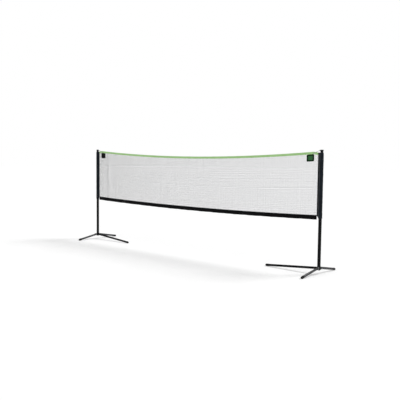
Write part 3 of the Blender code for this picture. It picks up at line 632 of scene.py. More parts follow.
def stitch_shape():
    """A spindle along X: a pole, two rings and a pole."""
    turn = np.arange(STITCH_SIDES) * math.tau / STITCH_SIDES
    ring = np.stack([0 * turn, np.cos(turn), np.sin(turn)], axis=1)
    points = np.concatenate([[(-1, 0, 0)], ring - (0.5, 0, 0), ring + (0.5, 0, 0), [(1, 0, 0)]]) / 2
    near = 1 + np.arange(STITCH_SIDES)
    near_next = 1 + (np.arange(STITCH_SIDES) + 1) % STITCH_SIDES
    far, far_next, tip = near + STITCH_SIDES, near_next + STITCH_SIDES, 0 * near + len(points) - 1
    corners = [(0 * near, near_next, near), (near, near_next, far_next), (near, far_next, far)]
    corners.append((far, far_next, tip))
    return points * STITCH, np.concatenate([np.stack(corner, axis=1) for corner in corners])


def evenly(line, pitch):
    """Points a pitch apart along a line, with the line's direction at each."""
    gone = np.concatenate([[0], np.cumsum(np.linalg.norm(np.diff(line, axis=0), axis=1))])

    def at(distance):
        """The points at some distances along the line."""
        return np.stack([np.interp(distance, gone, line[:, k]) for k in range(3)], axis=1)

    here = np.arange(pitch / 2, gone[-1], pitch)
    way = at(here + pitch / 4) - at(here - pitch / 4)
    return at(here), way / np.linalg.norm(way, axis=1, keepdims=True)


def stitching(name, seams, material, node, pitch=STITCH_PITCH):
    """One piece of every stitch along several seams. Each seam is a line, and the way its cloth faces."""
    shape, shape_faces = stitch_shape()
    points, maps = [], []
    for line, facing in seams:
        places, way = evenly(line, pitch)
        out = np.broadcast_to(facing, way.shape)
        axes = np.stack([way, np.cross(out, way), out], axis=1)
        points.append((places[:, None, :] + np.einsum("mk,nkj->nmj", shape, axes)).reshape(-1, 3))
        maps.append(np.tile(shape[:, :2], (len(places), 1)))
    points, maps = np.concatenate(points), np.concatenate(maps)
    count = len(points) // len(shape)
    faces = (shape_faces[None] + np.arange(count)[:, None, None] * len(shape)).reshape(-1, 3)
    mesh = make_mesh(name, points, faces, maps, sharp_over=180)
    close_mesh(mesh, fill=False)
    print(f"{name}: {count} stitches")
    return new_piece(name, mesh, material, node)


def cut_length(cut):
    """The length of cloth in a cut across a sheet."""
    return float(np.linalg.norm(np.diff(cut, axis=0), axis=1).sum())


# %% [markdown]
# ## The top tape
#
# The tape is one strip of webbing folded over the edge of the mesh, with the head cord in the
# fold. A cut across it is a loop round the cord above two flat layers. That cut is carried along
# the tape's line, given its wall, and punched for the two eyelets.

# %% Top tape
TAPE_WALL = 0.0009
TAPE_FLAT = 0.00135  # from the net's plane to the middle of a flat layer
CHANNEL_R = 0.00275
CHANNEL_LINE = TAPE_HEIGHT / 2 - TAPE_WALL / 2 - CHANNEL_R
CHANNEL_FOOT = CHANNEL_LINE - 0.0046
TAPE_PUCKER = 0.00035
EYELET_HOLE_R = 0.0045
PUNCH_REACH = 0.01
TAPE_SEAM_IN = 0.003  # from the tape's lower edge to its lower seam
CHANNEL_SEAM_BELOW = 0.001
eyelet_low, eyelet_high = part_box("right_eyelet")
EYELET_Z = (eyelet_low.z + eyelet_high.z) / 2


def mirrored_cut(half):
    """A whole cut of (y, z) points, from its half with y above 0."""
    return np.concatenate([half * (-1, 1), half[-2::-1]])


def tape_cut():
    """Half the tape's cut: flat, a smooth step out to the channel, a quarter circle over the cord."""
    flat = np.stack([np.full(9, TAPE_FLAT), np.linspace(-TAPE_HEIGHT / 2, CHANNEL_FOOT, 9)], axis=1)
    share = np.linspace(0, 1, 7)[1:]
    out = TAPE_FLAT + (CHANNEL_R - TAPE_FLAT) * smooth_step(share)
    step = np.stack([out, CHANNEL_FOOT + share * (CHANNEL_LINE - CHANNEL_FOOT)], axis=1)
    turn = np.linspace(0, math.pi / 2, 8)[1:]
    fold = np.stack([CHANNEL_R * np.cos(turn), CHANNEL_LINE + CHANNEL_R * np.sin(turn)], axis=1)
    return mirrored_cut(np.concatenate([flat, step, fold]))


def along_net(x, cut, line, low_edge, wander, swing=0.0):
    """A (y, z) cut carried along a line, its low edge moved up and down by a wander in metres."""
    down = np.clip(0.5 - cut[:, 1] / (2 * low_edge), 0, 1)
    grid = np.empty((len(x), len(cut), 3))
    grid[:, :, 0] = x[:, None]
    grid[:, :, 1] = cut[None, :, 0] + np.reshape(swing, (-1, 1))
    grid[:, :, 2] = line(x)[:, None] + cut[None, :, 1] + wander[:, None] * down
    return grid


def seam_line(x, line, height, out, swing=0.0):
    """A line along the net, at a height over another line and out from the net's plane."""
    return np.stack([x, 0 * x + swing + out, line(x) + height], axis=1)


tape_x = np.union1d(np.linspace(-HALF_NET, HALF_NET, 260), [-EYELET_X, EYELET_X])
cut = tape_cut()
pucker = TAPE_PUCKER * (np.sin(math.tau * tape_x / 0.071) + np.sin(math.tau * tape_x / 0.043 + 1.3))
tape_grid = along_net(tape_x, cut, tape_line, TAPE_HEIGHT / 2, pucker)
top_tape = cloth_piece("top_tape_webbing", tape_grid, TAPE_WALL, LIME_WEBBING, "top_tape")
for facing in SIDES.values():
    rod = [(r, z * PUNCH_REACH) for r, z in ((0, -1), (EYELET_HOLE_R, -1), (EYELET_HOLE_R, 1), (0, 1))]
    punch_mesh = grid_mesh("punch", turned(rod, (facing * EYELET_X, 0, EYELET_Z), (0, 1, 0), 24))
    punch = bpy.data.objects.new("punch", punch_mesh)
    bpy.context.scene.collection.objects.link(punch)
    hole = top_tape.modifiers.new("eyelet_hole", "BOOLEAN")
    hole.operation = "DIFFERENCE"
    hole.object = punch
    apply_modifiers(top_tape)
    bpy.data.objects.remove(punch)

tape_face = TAPE_FLAT + TAPE_WALL / 2
tape_seams = [
    (seam_line(tape_x[1:-1], tape_line, height, facing[1] * tape_face), facing)
    for facing in (FRONT, BACK)
    for height in (-TAPE_HEIGHT / 2 + TAPE_SEAM_IN, CHANNEL_FOOT - CHANNEL_SEAM_BELOW)
]
stitching("top_tape_stitching", tape_seams, LIME_THREAD, "top_tape")

# %% [markdown]
# ## The bottom band
#
# The band weighs the net down: black cloth folded round the mesh's lower edge. It is soft, so it
# is a little fuller between its edges than at them, and its lower edge wanders by a millimetre.

# %% Bottom band
BAND_WALL = 0.0010
BAND_FLAT = 0.0014
BAND_FULL = 0.0016  # how much further out the middle of each side stands
BAND_WANDER = 0.0009
BAND_SEAMS = (0.003, 0.009)  # how far each seam is below the band's upper edge


def band_side(share):
    """How far out a side is, at a share of its height down: a swell by sin(pi t)."""
    return BAND_FLAT + BAND_FULL * np.sin(math.pi * share)


def band_cut():
    """Half the band's cut: a side, and a quarter circle at the fold."""
    share = np.linspace(0, 1, 14)
    low = -BAND_HEIGHT / 2 + BAND_WALL / 2 + BAND_FLAT
    side = np.stack([band_side(share), BAND_HEIGHT / 2 - share * (BAND_HEIGHT / 2 - low)], axis=1)
    turn = np.linspace(0, math.pi / 2, 6)[1:]
    fold = np.stack([BAND_FLAT * np.cos(turn), low - BAND_FLAT * np.sin(turn)], axis=1)
    return mirrored_cut(np.concatenate([side, fold]))


band_x = np.linspace(-HALF_NET, HALF_NET, 240)
cut = band_cut()
wander = np.sin(math.tau * band_x / 0.31) + 0.7 * np.sin(math.tau * band_x / 0.127 + 0.8)
wander = BAND_WANDER * wander
band_grid = along_net(band_x, cut, band_line, BAND_HEIGHT / 2, wander, band_swing(band_x))
fullness = 0.5 * np.sin(math.tau * band_x / 0.23 + 0.4)
swell = np.sign(cut[:, 0]) * np.clip(np.abs(cut[:, 0]) - BAND_FLAT, 0, None)
band_grid[:, :, 1] += fullness[:, None] * swell
bottom_band = cloth_piece("bottom_band_cloth", band_grid, BAND_WALL, BLACK_CLOTH, "bottom_band")

band_seams = []
for facing in (FRONT, BACK):
    for below_top in BAND_SEAMS:
        out = facing[1] * (band_side(below_top / BAND_HEIGHT) + BAND_WALL / 2)
        x = band_x[1:-1]
        band_seams.append((seam_line(x, band_line, BAND_HEIGHT / 2 - below_top, out, band_swing(x)), facing))
stitching("bottom_band_stitching", band_seams, BLACK_THREAD, "bottom_band")

# %% [markdown]
# ## The sleeves
#
# A sleeve is one strip of cloth that goes round the post and comes back to itself, where two rows
# of stitches make a flat hem that grips the net. In plan it is an arc, two tangents that run
# together, and the hem. Down the post the cloth keeps clear of the locks that slide inside it,
# draws in at its mouth, and shows soft drag folds, which only ever push outwards.

# %% Sleeves
SLEEVE_WALL = 0.0011
HEM_GAP = 0.00145  # from the net's plane to the middle of a hem layer
HEM_CORNER_RISE = 0.035  # the hem's lower corner is cut off on the slant
TANGENT_AT = math.radians(36)
HEM_CURVE = 0.0035
MOUTH_DRAWN = 0.0022
MOUTH_HEIGHT = 0.030
BELL = 0.0012  # how much wider the lower end hangs
BELL_HEIGHT = 0.07
HEM_FLAT = 0.022  # width of the hem that stays flat, without folds
HEM_BLEND = 0.010
HALF_SPACING = JOINTS["right_lower_collar_turn"]["pos_m"][0]
HEM_REACH = HALF_SPACING - sleeve_low.x
SLEEVE_R = sleeve_high.x - HALF_SPACING - SLEEVE_WALL / 2
# Each drag fold's height up the sleeve, slope round the post, width and depth
DRAG_FOLDS = np.array([
    (0.08, 0.030, 0.016, 0.0014), (0.19, -0.022, 0.012, 0.0009), (0.30, 0.034, 0.018, 0.0011),
    (0.44, -0.018, 0.014, 0.0008), (0.56, 0.026, 0.016, 0.0012), (0.69, -0.030, 0.015, 0.0010),
])


def sleeve_plan():
    """Half the sleeve from above, from the post's axis: hem, curve, tangent, and an arc round the back."""
    touch = SLEEVE_R * np.array([math.cos(TANGENT_AT), math.sin(TANGENT_AT)])
    way = np.array([math.sin(TANGENT_AT), -math.cos(TANGENT_AT)])
    meet = touch + way * (touch[1] - HEM_GAP) / math.cos(TANGENT_AT)
    hem_end, bend_end = meet + (HEM_CURVE, 0), meet - way * HEM_CURVE
    share = np.linspace(0, 1, 8)[:, None]
    hem = np.array([HEM_REACH, HEM_GAP]) * (1 - share) + hem_end * share
    bend = (1 - share) ** 2 * hem_end + 2 * share * (1 - share) * meet + share**2 * bend_end
    tangent = bend_end * (1 - share) + touch * share
    turn = np.linspace(TANGENT_AT, math.pi, 26)[1:, None]
    arc = SLEEVE_R * np.concatenate([np.cos(turn), np.sin(turn)], axis=1)
    return np.concatenate([hem, bend[1:], tangent[1:], arc])


def sleeve_grid(facing, phase):
    """The plan carried up the post, with folds pushed out by depth x exp(-(distance / width)^2)."""
    half = sleeve_plan()
    plan = np.concatenate([half, half[-2::-1] * (1, -1)])
    way = np.gradient(plan, axis=0)
    away = np.stack([way[:, 1], -way[:, 0]], axis=1) / np.linalg.norm(way, axis=1, keepdims=True)
    angle = np.unwrap(np.arctan2(plan[:, 1], plan[:, 0]))
    rise = HEM_CORNER_RISE * np.clip((plan[:, 0] - SLEEVE_R) / (HEM_REACH - SLEEVE_R), 0, 1)
    length = sleeve_high.z - sleeve_low.z
    height = rise + np.linspace(0, 1, 90)[:, None] * (length - rise)
    fold_height, slope, width, depth = (column[:, None, None] for column in DRAG_FOLDS.T)
    distance = height - fold_height - slope * np.sin(angle + phase)
    folds = (depth * np.exp(-((distance / width) ** 2))).sum(axis=0)
    folds = folds * (0.6 + 0.4 * np.cos(2 * angle + phase))
    mouth = MOUTH_DRAWN * smooth_step(np.clip((height - length + MOUTH_HEIGHT) / MOUTH_HEIGHT, 0, 1))
    bell = BELL * smooth_step(np.clip(1 - height / BELL_HEIGHT, 0, 1))
    off_hem = np.clip((HEM_REACH - HEM_FLAT - plan[:, 0]) / HEM_BLEND, 0, 1)
    out = (folds + bell - mouth) * off_hem
    grid = np.empty((*height.shape, 3))
    grid[:, :, 0] = facing * (HALF_SPACING - plan[:, 0] - out * away[:, 0])
    grid[:, :, 1] = plan[:, 1] + out * away[:, 1]
    grid[:, :, 2] = sleeve_low.z + height
    return grid


for side, facing in SIDES.items():
    grid = sleeve_grid(facing, 0.4 + facing)
    node = f"{side}_sleeve"
    sleeve = cloth_piece(node + "_cloth", grid, SLEEVE_WALL, SLEEVE_CLOTH, node)
    seams = []
    for column in (1, 4, -2, -5):
        face = FRONT if grid[0, column, 1] < 0 else BACK
        seams.append((grid[1:-1, column] + face * SLEEVE_WALL / 2, face))
    stitching(node + "_stitching", seams, BLACK_THREAD, node)

# %% [markdown]
# ## Corner patches
#
# A stiff patch is sewn under each end of the tape, black on the left and dark green on the right.
# It is a rounded rectangle with a raised rim. The green one has a paler woven panel in its middle,
# which is left plain.

# %% Patches
PATCH_WALL = 0.0009
PATCH_SQUARENESS = 9.0  # the power of the superellipse
PATCH_RIM = 0.0005
RIM_STARTS, RIM_BLEND = 0.86, 0.05  # shares of the way out from the middle
PATCH_STITCH_PITCH = 0.0042
PATCH_BELOW_TAPE = GAP
patch_low, patch_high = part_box("right_patch")
PATCH_LIFT = -(patch_low.y + patch_high.y) / 2
PATCH_HEIGHT = float(tape_line(patch_low.x) - TAPE_HEIGHT / 2 - PATCH_BELOW_TAPE - patch_low.z)
PATCH_CHIPS = {"left": ("#020202", "#080908", "#040404"), "right": ("#0d2a12", "#0a1e0d", "#35683d")}


def coated_cloth(name, chips, half_size):
    """Coated cloth: the ground, its rim and a middle panel, by how far out each point of the map is."""
    material, tree, _ = new_finish(name, 0.62, specular=0.14)
    place = add_node(tree, "ShaderNodeUVMap", {}, uv_map="cloth_map").outputs[0]
    split = add_node(tree, "ShaderNodeSeparateXYZ", {0: place})
    out = [calculate(tree, "ABSOLUTE", split.outputs[k]) for k in (0, 1)]
    out = [calculate(tree, "DIVIDE", distance, half) for distance, half in zip(out, half_size)]
    furthest = calculate(tree, "MAXIMUM", *out)
    ground = blend_colours(tree, spread(tree, furthest, 0.88, 0.91), *chips[:2])
    colour = blend_colours(tree, spread(tree, furthest, 0.60, 0.56), ground, chips[2])
    return finished(material, colour, plain_weave(tree, 1.6 * MILLIMETRE), 0.2 * MILLIMETRE, 0.6)


def patch_grid(low, high):
    """Rings from the middle out to the superellipse |u|^p + |v|^p = 1, with a smoothly raised rim."""
    turn = np.linspace(0, math.tau, 97)
    power = PATCH_SQUARENESS
    edge = (np.abs(np.cos(turn)) ** power + np.abs(np.sin(turn)) ** power) ** (-1 / power)
    out = np.concatenate([np.linspace(0, RIM_STARTS, 12), [0.885, 0.91, 0.955, 1.0]])[:, None]
    u = out * edge * np.cos(turn) * (high.x - low.x) / 2
    v = out * edge * np.sin(turn) * PATCH_HEIGHT / 2
    x = (high.x + low.x) / 2 + u
    below = PATCH_BELOW_TAPE + PATCH_HEIGHT / 2 - v
    rim = PATCH_RIM * smooth_step(np.clip((out - RIM_STARTS) / RIM_BLEND, 0, 1))
    y = net_swing(x, 1 - below / net_height) - PATCH_LIFT - rim
    return np.stack([x, y, tape_line(x) - TAPE_HEIGHT / 2 - below], axis=-1), np.stack([u, v], axis=-1)


for side in SIDES:
    node = f"{side}_patch"
    low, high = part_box(node)
    grid, places = patch_grid(low, high)
    faces = grid_faces(*grid.shape[:2])
    mesh = make_mesh(node + "_sewn", grid.reshape(-1, 3), faces, places.reshape(-1, 2))
    close_mesh(mesh, fill=False)
    half_size = ((high.x - low.x) / 2, PATCH_HEIGHT / 2)
    finish = coated_cloth(f"{side}_coated_cloth", PATCH_CHIPS[side], half_size)
    patch = new_piece(node + "_sewn", mesh, finish, node, [node])
    thicken(patch, PATCH_WALL)
    seam = (grid[-2] + FRONT * PATCH_WALL / 2, FRONT)
    stitching(node + "_stitching", [seam], BLACK_THREAD, node, PATCH_STITCH_PITCH)

# %% [markdown]
# ## Tie cords
#
# A short braided cord goes from the screw eye in the cap to the eyelet, through it and back, and is
# knotted half way. It is pulled tight, so its two runs are almost straight and are drawn together
# at the knot.

# %% Tie cords and their knots
CORD_D = 0.0030
LOOP_HALF = 0.0060
WAIST_HALF = 0.0019
KNOT_R = 0.0046
KNOT_OPEN = 0.22  # radians left out at each end
KNOT_LIFT = 1.1  # how far the crossings stand apart
CORD_SIDES = 12
EYE_WIRE_R = 0.0015


def tube_round(line, radius, sides=CORD_SIDES):
    """A tube of rings across a line, each turned as little as can be from the last. Its ends taper."""
    way = np.gradient(line, axis=0)
    way /= np.linalg.norm(way, axis=1, keepdims=True)
    first = [unit(np.cross(way[0], (0.3, 0.2, 1.0)))]
    for direction in way[1:]:
        first.append(unit(first[-1] - direction * np.dot(first[-1], direction)))
    first = np.array(first)[:, None]
    second = np.cross(way[:, None], first)
    turn = np.linspace(0, math.tau, sides + 1)[None, :, None]
    taper = np.array([0.3, *np.ones(len(line) - 2), 0.3])[:, None, None]
    return line[:, None] + radius * taper * (np.cos(turn) * first + np.sin(turn) * second)


def lashing(start, end):
    """From start round end and back. A quarter is a quarter circle at a hole, and a run to the waist."""
    half = np.linalg.norm(end - start) / 2 - LOOP_HALF
    turn = np.linspace(0, math.pi / 2, 7)
    bend = np.stack([half + LOOP_HALF * np.cos(turn), LOOP_HALF * np.sin(turn)], axis=1)
    share = np.linspace(1, 0, 9)[1:]
    run = np.stack([share * half, WAIST_HALF + (LOOP_HALF - WAIST_HALF) * smooth_step(share)], axis=1)
    quarter = np.concatenate([bend, run])
    back_to_tip = quarter[-2::-1]
    whole = [quarter * (-1, 1), back_to_tip, quarter[1:] * (1, -1), back_to_tip * (-1, -1)]
    whole = np.concatenate(whole)[:-1]
    return (start + end) / 2 + whole[:, :1] * unit(end - start) + whole[:, 1:] * FRONT


def overhand(middle, along, radius):
    """An open trefoil knot: (sin t + 2 sin 2t, cos t - 2 cos 2t) flat, and -sin 3t across."""
    t = np.linspace(KNOT_OPEN, math.tau - KNOT_OPEN, 70)[:, None]
    upward = np.cross(along, FRONT)
    flat = (np.sin(t) + 2 * np.sin(2 * t)) * along + (np.cos(t) - 2 * np.cos(2 * t)) * upward
    return middle + radius / 3 * (flat - KNOT_LIFT * np.sin(3 * t) * FRONT)


for side, facing in SIDES.items():
    eye_low, eye_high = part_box(f"{side}_eye")
    ring_r = (eye_high.z - eye_low.z) / 2
    inboard = min(abs(eye_low.x), abs(eye_high.x))
    eye_middle = np.array([facing * (inboard + ring_r), 0, (eye_low.z + eye_high.z) / 2])
    eyelet_middle = np.array([facing * EYELET_X, 0, EYELET_Z])
    route = lashing(eye_middle, eyelet_middle)
    node = f"{side}_tie_cord"
    cord_mesh = grid_mesh(node + "_braid", tube_round(route, CORD_D / 2), sharp_over=180)
    cord = new_piece(node + "_braid", cord_mesh, GREY_CORD, node, [node])
    knot_line = overhand((eye_middle + eyelet_middle) / 2, unit(eyelet_middle - eye_middle), KNOT_R)
    knot_mesh = grid_mesh(f"{side}_tie_knot", tube_round(knot_line, CORD_D / 2), sharp_over=180)
    tie_knot = new_piece(f"{side}_tie_knot", knot_mesh, GREY_CORD, node)
    length = cut_length(route)
    print(f"{side} tie cord: {length:.3f} m")

# %% [markdown]
# ## Posts, locks and caps
#
# Each post is three drawn tubes, one inside the other. A tube is a ring of four corners turned
# about the post, with its ends rounded where the saw cut was brushed. The collars of the twist
# locks have ribs for the hand, carved into the profile by a cosine round the post.

# %% Tubes, collars and caps
TUBE_WALL = 0.0015
RIBS = 24
RIB_DEPTH = 0.0006
CAP_CROWN = 0.0022
CAP_WALL = 0.0040
CAP_GROOVE = 0.0008
COLLAR_LIP = 0.003
COLLAR_CLEAR = 0.0002
RIB_FROM, RIB_TO = 0.006, 0.009  # from the collar's lower end, and from its upper end
RIB_RUN = 0.0015  # over which a rib rises to its full depth


def height_and_radius(node):
    """The lowest and highest z of an upright round node, and its radius."""
    low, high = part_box(node)
    return low.z, high.z, (high.y - low.y) / 2


def real_radius(node):
    """A node's radius, rounded to the tenth of a millimetre that its flat facets take off."""
    return math.ceil(height_and_radius(node)[2] * 1e4 - 0.05) / 1e4


def ring_profile(bore, outer, low, high):
    """The four corners of a tube's cut."""
    return [(bore, low), (outer, low), (outer, high), (bore, high)]


def collar(node, facing):
    """A lock's collar: a skirt with ribs between two plain bands, and a lip round the tube above."""
    low, high, _ = height_and_radius(node)
    outer = real_radius(node)
    bore = outer - TUBE_WALL
    lip = bore - GAP - TUBE_WALL - COLLAR_CLEAR
    first, last = low + RIB_FROM, high - RIB_TO
    rib_rows = [(outer, z) for z in (first, first + RIB_RUN, last - RIB_RUN, last)]
    corners = [(bore, low), (outer, low), *rib_rows, (outer, high), (lip, high),
               (lip, high - COLLAR_LIP), (bore, high - COLLAR_LIP)]
    profile = softened(corners, 0.0007)
    ribbed = smooth_step(np.clip((profile[:, 1] - first) / RIB_RUN, 0, 1))
    ribbed *= smooth_step(np.clip((last - profile[:, 1]) / RIB_RUN, 0, 1))
    ribbed *= profile[:, 0] > outer - 1e-5
    sides = 6 * RIBS
    wave = 0.5 - 0.5 * np.cos(RIBS * np.linspace(0, math.tau, sides + 1))
    carved = RIB_DEPTH * ribbed[:, None] * wave
    return turned(profile, (facing * HALF_SPACING, 0, 0), sides=sides, carved=carved)


def cap_profile(node):
    """A cup over the tube's end: a low crown, a rounded shoulder, a shallow groove and a skirt."""
    low, high, _ = height_and_radius(node)
    outer = real_radius(node)
    bore = outer - CAP_WALL + GAP
    share = np.linspace(0, 1, 8)
    crown = np.stack([share * (outer - 0.002), high - CAP_CROWN * share**4 * 0.5], axis=1)
    groove = [(outer, low + 0.006), (outer - CAP_GROOVE, low + 0.0053),
              (outer - CAP_GROOVE, low + 0.0047), (outer, low + 0.004)]
    side_wall = [(outer, high - CAP_CROWN * 1.2), *groove, (outer, low)]
    inside = [(bore, low), (bore, high - CAP_WALL), (0, high - CAP_WALL)]
    return softened([*crown.tolist(), *side_wall, *inside], 0.0009, closed=False)


for side, facing in SIDES.items():
    post = (facing * HALF_SPACING, 0, 0)
    for part in ("lower", "mid", "top"):
        node = f"{side}_{part}_tube"
        low, high, _ = height_and_radius(node)
        outer = real_radius(node)
        corners = ring_profile(outer - TUBE_WALL, outer, low, high)
        stand_in(node, BLACK_COAT, turned(softened(corners, 0.0006), post))
    for part in ("lower", "mid"):
        stand_in(f"{side}_{part}_collar", CHARCOAL_NYLON, collar(f"{side}_{part}_collar", facing))
    stand_in(f"{side}_cap", BLACK_NYLON, turned(cap_profile(f"{side}_cap"), post))

# %% [markdown]
# ## Stands
#
# The hub is one nylon moulding: a body under the post, two cheek plates that hold the folding legs
# by a rivet each, and a boss for the fixed leg. The legs are straight tubes from the hub down to
# their feet, so each is a profile turned about its own sloping line. A foot is a rubber boot with
# grip grooves, ground flat where it meets the floor.

# %% Hubs
LEG_R = 0.0150
LEG_WALL = 0.0017
CHEEK_INSIDE = 0.0158
CHEEK_WALL = 0.0045
CHEEK_R = 0.0150
HUB_BODY_R = 0.0210
HUB_SHOULDER = 0.116
BOSS_REACH = 0.0270
BOSS_SPIGOT = 0.045  # how far the boss goes on inside the leg
BOSS_RIM = 0.0008
HUB_CHAMFER = 0.005
PIVOT_HEIGHT = JOINTS["right_front_leg_fold"]["pos_m"][2]
PIVOT_OFFSET = abs(JOINTS["right_front_leg_fold"]["pos_m"][1])
LEG_LINE = 0.080  # height of the inner leg's centre line at the post
FOOT_R = 0.0165
FOOT_FLAT = 0.0012
INNER_LEG_REACH = 0.810
SIDE_LEG_REACH = 0.405


def cheek(post_x, inside, outside):
    """A plate with round ends: each ring is two half circles about the rivets, joined by straights."""
    corners = [(0, inside), (CHEEK_R, inside), (CHEEK_R, outside), (0, outside)]
    profile = softened(corners, 0.0010, closed=False)
    half = np.linspace(-math.pi / 2, math.pi / 2, 25)
    turn = np.concatenate([half, half + math.pi, half[:1]])
    rivet = np.concatenate([0 * half + PIVOT_OFFSET, 0 * half - PIVOT_OFFSET, [PIVOT_OFFSET]])
    grid = np.empty((len(profile), len(turn), 3))
    grid[:, :, 0] = post_x + profile[:, 1:]
    grid[:, :, 1] = rivet + profile[:, :1] * np.cos(turn)
    grid[:, :, 2] = PIVOT_HEIGHT + profile[:, :1] * np.sin(turn)
    return grid


def leg_line(side, kind):
    """A leg's root, its direction down to the floor, and how far the foot's round end is from there."""
    facing = SIDES[side]
    if kind == "inner":
        root = np.array([facing * HALF_SPACING, 0, LEG_LINE])
        tip = np.array([facing * (HALF_SPACING - INNER_LEG_REACH + FOOT_R), 0, FOOT_R - FOOT_FLAT])
    else:
        way = FRONT[1] if kind == "front" else BACK[1]
        root = np.array([facing * HALF_SPACING, way * PIVOT_OFFSET, PIVOT_HEIGHT])
        tip = np.array([facing * HALF_SPACING, way * (SIDE_LEG_REACH - FOOT_R), FOOT_R - FOOT_FLAT])
    return root, unit(tip - root), float(np.linalg.norm(tip - root))


for side, facing in SIDES.items():
    spigot_r = HUB_BODY_R - TUBE_WALL - GAP
    hub_low, hub_high, _ = height_and_radius(f"{side}_hub")
    body = [(0, hub_low), (HUB_BODY_R - HUB_CHAMFER, hub_low), (HUB_BODY_R, hub_low + HUB_CHAMFER),
            (HUB_BODY_R, HUB_SHOULDER), (spigot_r, HUB_SHOULDER), (spigot_r, hub_high), (0, hub_high)]
    root, way, _ = leg_line(side, "inner")
    boss_r, inside_leg = LEG_R + BOSS_RIM, LEG_R - LEG_WALL - GAP
    boss = [(0, 0), (boss_r, 0), (boss_r, BOSS_REACH), (inside_leg, BOSS_REACH),
            (inside_leg, BOSS_REACH + BOSS_SPIGOT), (0, BOSS_REACH + BOSS_SPIGOT)]
    post_x = facing * HALF_SPACING
    stand_in(
        f"{side}_hub", BLACK_NYLON,
        turned(softened(body, 0.0012, closed=False), (post_x, 0, 0)),
        turned(softened(boss, 0.0010, closed=False), root, way),
        cheek(post_x, CHEEK_INSIDE, CHEEK_INSIDE + CHEEK_WALL),
        cheek(post_x, -CHEEK_INSIDE - CHEEK_WALL, -CHEEK_INSIDE),
    )

# %% [markdown]
# ### Legs and feet
#
# A leg is a drawn steel tube like the posts. It could be a cylinder, but a turned profile gives it
# the brushed, rounded cut that shows at its ends. The rubber boot is turned about the same line, so
# the two always meet. Each foot is then flattened at the floor by lifting what would be below it.

# %% Legs and feet
FOOT_SOCKET = 0.033
SOCKET_SHORT = 0.0017
TUBE_SHORT = 0.0020
GRIP_DEPTH = 0.0007
GRIP_PITCH = 0.0064
GRIP_STARTS = 0.006
GRIPS = 3
LEG_BEHIND_PIVOT = 0.014
LEG_STARTS = {"inner": BOSS_REACH + GAP, "front": -LEG_BEHIND_PIVOT, "back": -LEG_BEHIND_PIVOT}


def foot_profile(length):
    """A boot: a round end, a side with grooves cut by a cosine, and an open socket for the leg."""
    turn = np.linspace(math.pi / 2, 0, 14)
    dome = np.stack([FOOT_R * np.cos(turn), length + FOOT_R * np.sin(turn)], axis=1)
    skirt = length - SOCKET_SHORT - FOOT_SOCKET
    back = np.linspace(0, 1, 40)[1:-1] * (length - skirt)
    in_grooves = (back > GRIP_STARTS) & (back < GRIP_STARTS + GRIPS * GRIP_PITCH)
    groove = GRIP_DEPTH * (0.5 - 0.5 * np.cos(math.tau * (back - GRIP_STARTS) / GRIP_PITCH)) * in_grooves
    side_wall = np.stack([FOOT_R - groove, length - back], axis=1)
    bore = LEG_R + GAP
    lip = [(FOOT_R, skirt + 0.0004), (FOOT_R - 0.0005, skirt), (bore, skirt), (bore, length - SOCKET_SHORT),
           (0, length - SOCKET_SHORT)]
    return np.concatenate([dome, side_wall, lip])


for side in SIDES:
    for kind, start in LEG_STARTS.items():
        root, way, length = leg_line(side, kind)
        wall = softened(ring_profile(LEG_R - LEG_WALL, LEG_R, start, length - TUBE_SHORT), 0.0006)
        # The side legs take the lighter coat as painted light; the inner leg keeps the black coat of the
        # posts
        coat = BLACK_COAT if kind == "inner" else LIT_LEG_COAT
        stand_in(f"{side}_{kind}_leg", coat, turned(wall, root, way, sides=48))
        foot = turned(foot_profile(length), root, way, sides=48)
        foot[:, :, 2] = np.maximum(foot[:, :, 2], 0.0)
        stand_in(f"{side}_{kind}_foot", BLACK_RUBBER, foot)

# %% [markdown]
# ## Rivets, screws, eyes and eyelets
#
# Small steel parts catch the light, so they need their real shapes: domed rivet heads, button
# screws with a six-sided socket, a screw eye bent from wire, and eyelets with rolled rims.

# %% Small steel parts
RIVET_R = 0.0040
RIVET_HEAD_R = 0.0070
RIVET_HEAD = 0.0024
RIVET_GRIP = CHEEK_INSIDE + CHEEK_WALL + GAP
SCREW_R = 0.0027
SCREW_HEAD_R = 0.0050
SCREW_HEAD = 0.0015
SCREW_LENGTH = 0.012
SOCKET_FLAT = 0.0013  # from the socket's middle to each of its six sides
SOCKET_DEPTH = 0.0010
POST_SCREW_HEIGHT = 0.133
LEG_SCREW_ALONG = BOSS_REACH + 0.022
EYELET_BORE_R = 0.0036
EYELET_BARREL_R = 0.0042
EYELET_FLANGE_R = 0.0059
EYELET_FACE = 0.0021
EYELET_RIM = 0.0008
EYE_SHANK_R = 0.00135
EYE_EASE = 0.0002  # added to the ring's radius


def dome(radius, height, base):
    """A quarter ellipse from the crown to the rim."""
    turn = np.linspace(0, math.pi / 2, 10)
    return np.stack([radius * np.sin(turn), base + height * np.cos(turn)], axis=1)


def screw_grid(head_underside, way):
    """A button head. Its socket's radius is flat / cos(angle from the middle of a side)."""
    sides = 48
    socket_r = SOCKET_FLAT / math.cos(math.pi / 6)
    floor = SCREW_HEAD - SOCKET_DEPTH
    socket = [(0, floor), (socket_r, floor), (socket_r, SCREW_HEAD - 0.0001)]
    crown = dome(SCREW_HEAD_R, SCREW_HEAD, 0.0)[4:].tolist()
    shank = [(SCREW_R, 0), (SCREW_R, -SCREW_LENGTH), (0, -SCREW_LENGTH)]
    profile = np.array([*socket, *crown, *shank])
    angle = np.linspace(0, math.tau, sides + 1) % (math.pi / 3) - math.pi / 6
    carved = np.zeros((len(profile), sides + 1))
    carved[1:3] = socket_r - SOCKET_FLAT / np.cos(angle)
    return turned(profile, head_underside, way, sides=sides, carved=carved)


def both_ends(half):
    """A whole profile from one end of it, which the other end mirrors."""
    return half + [(radius, -out) for radius, out in reversed(half)]


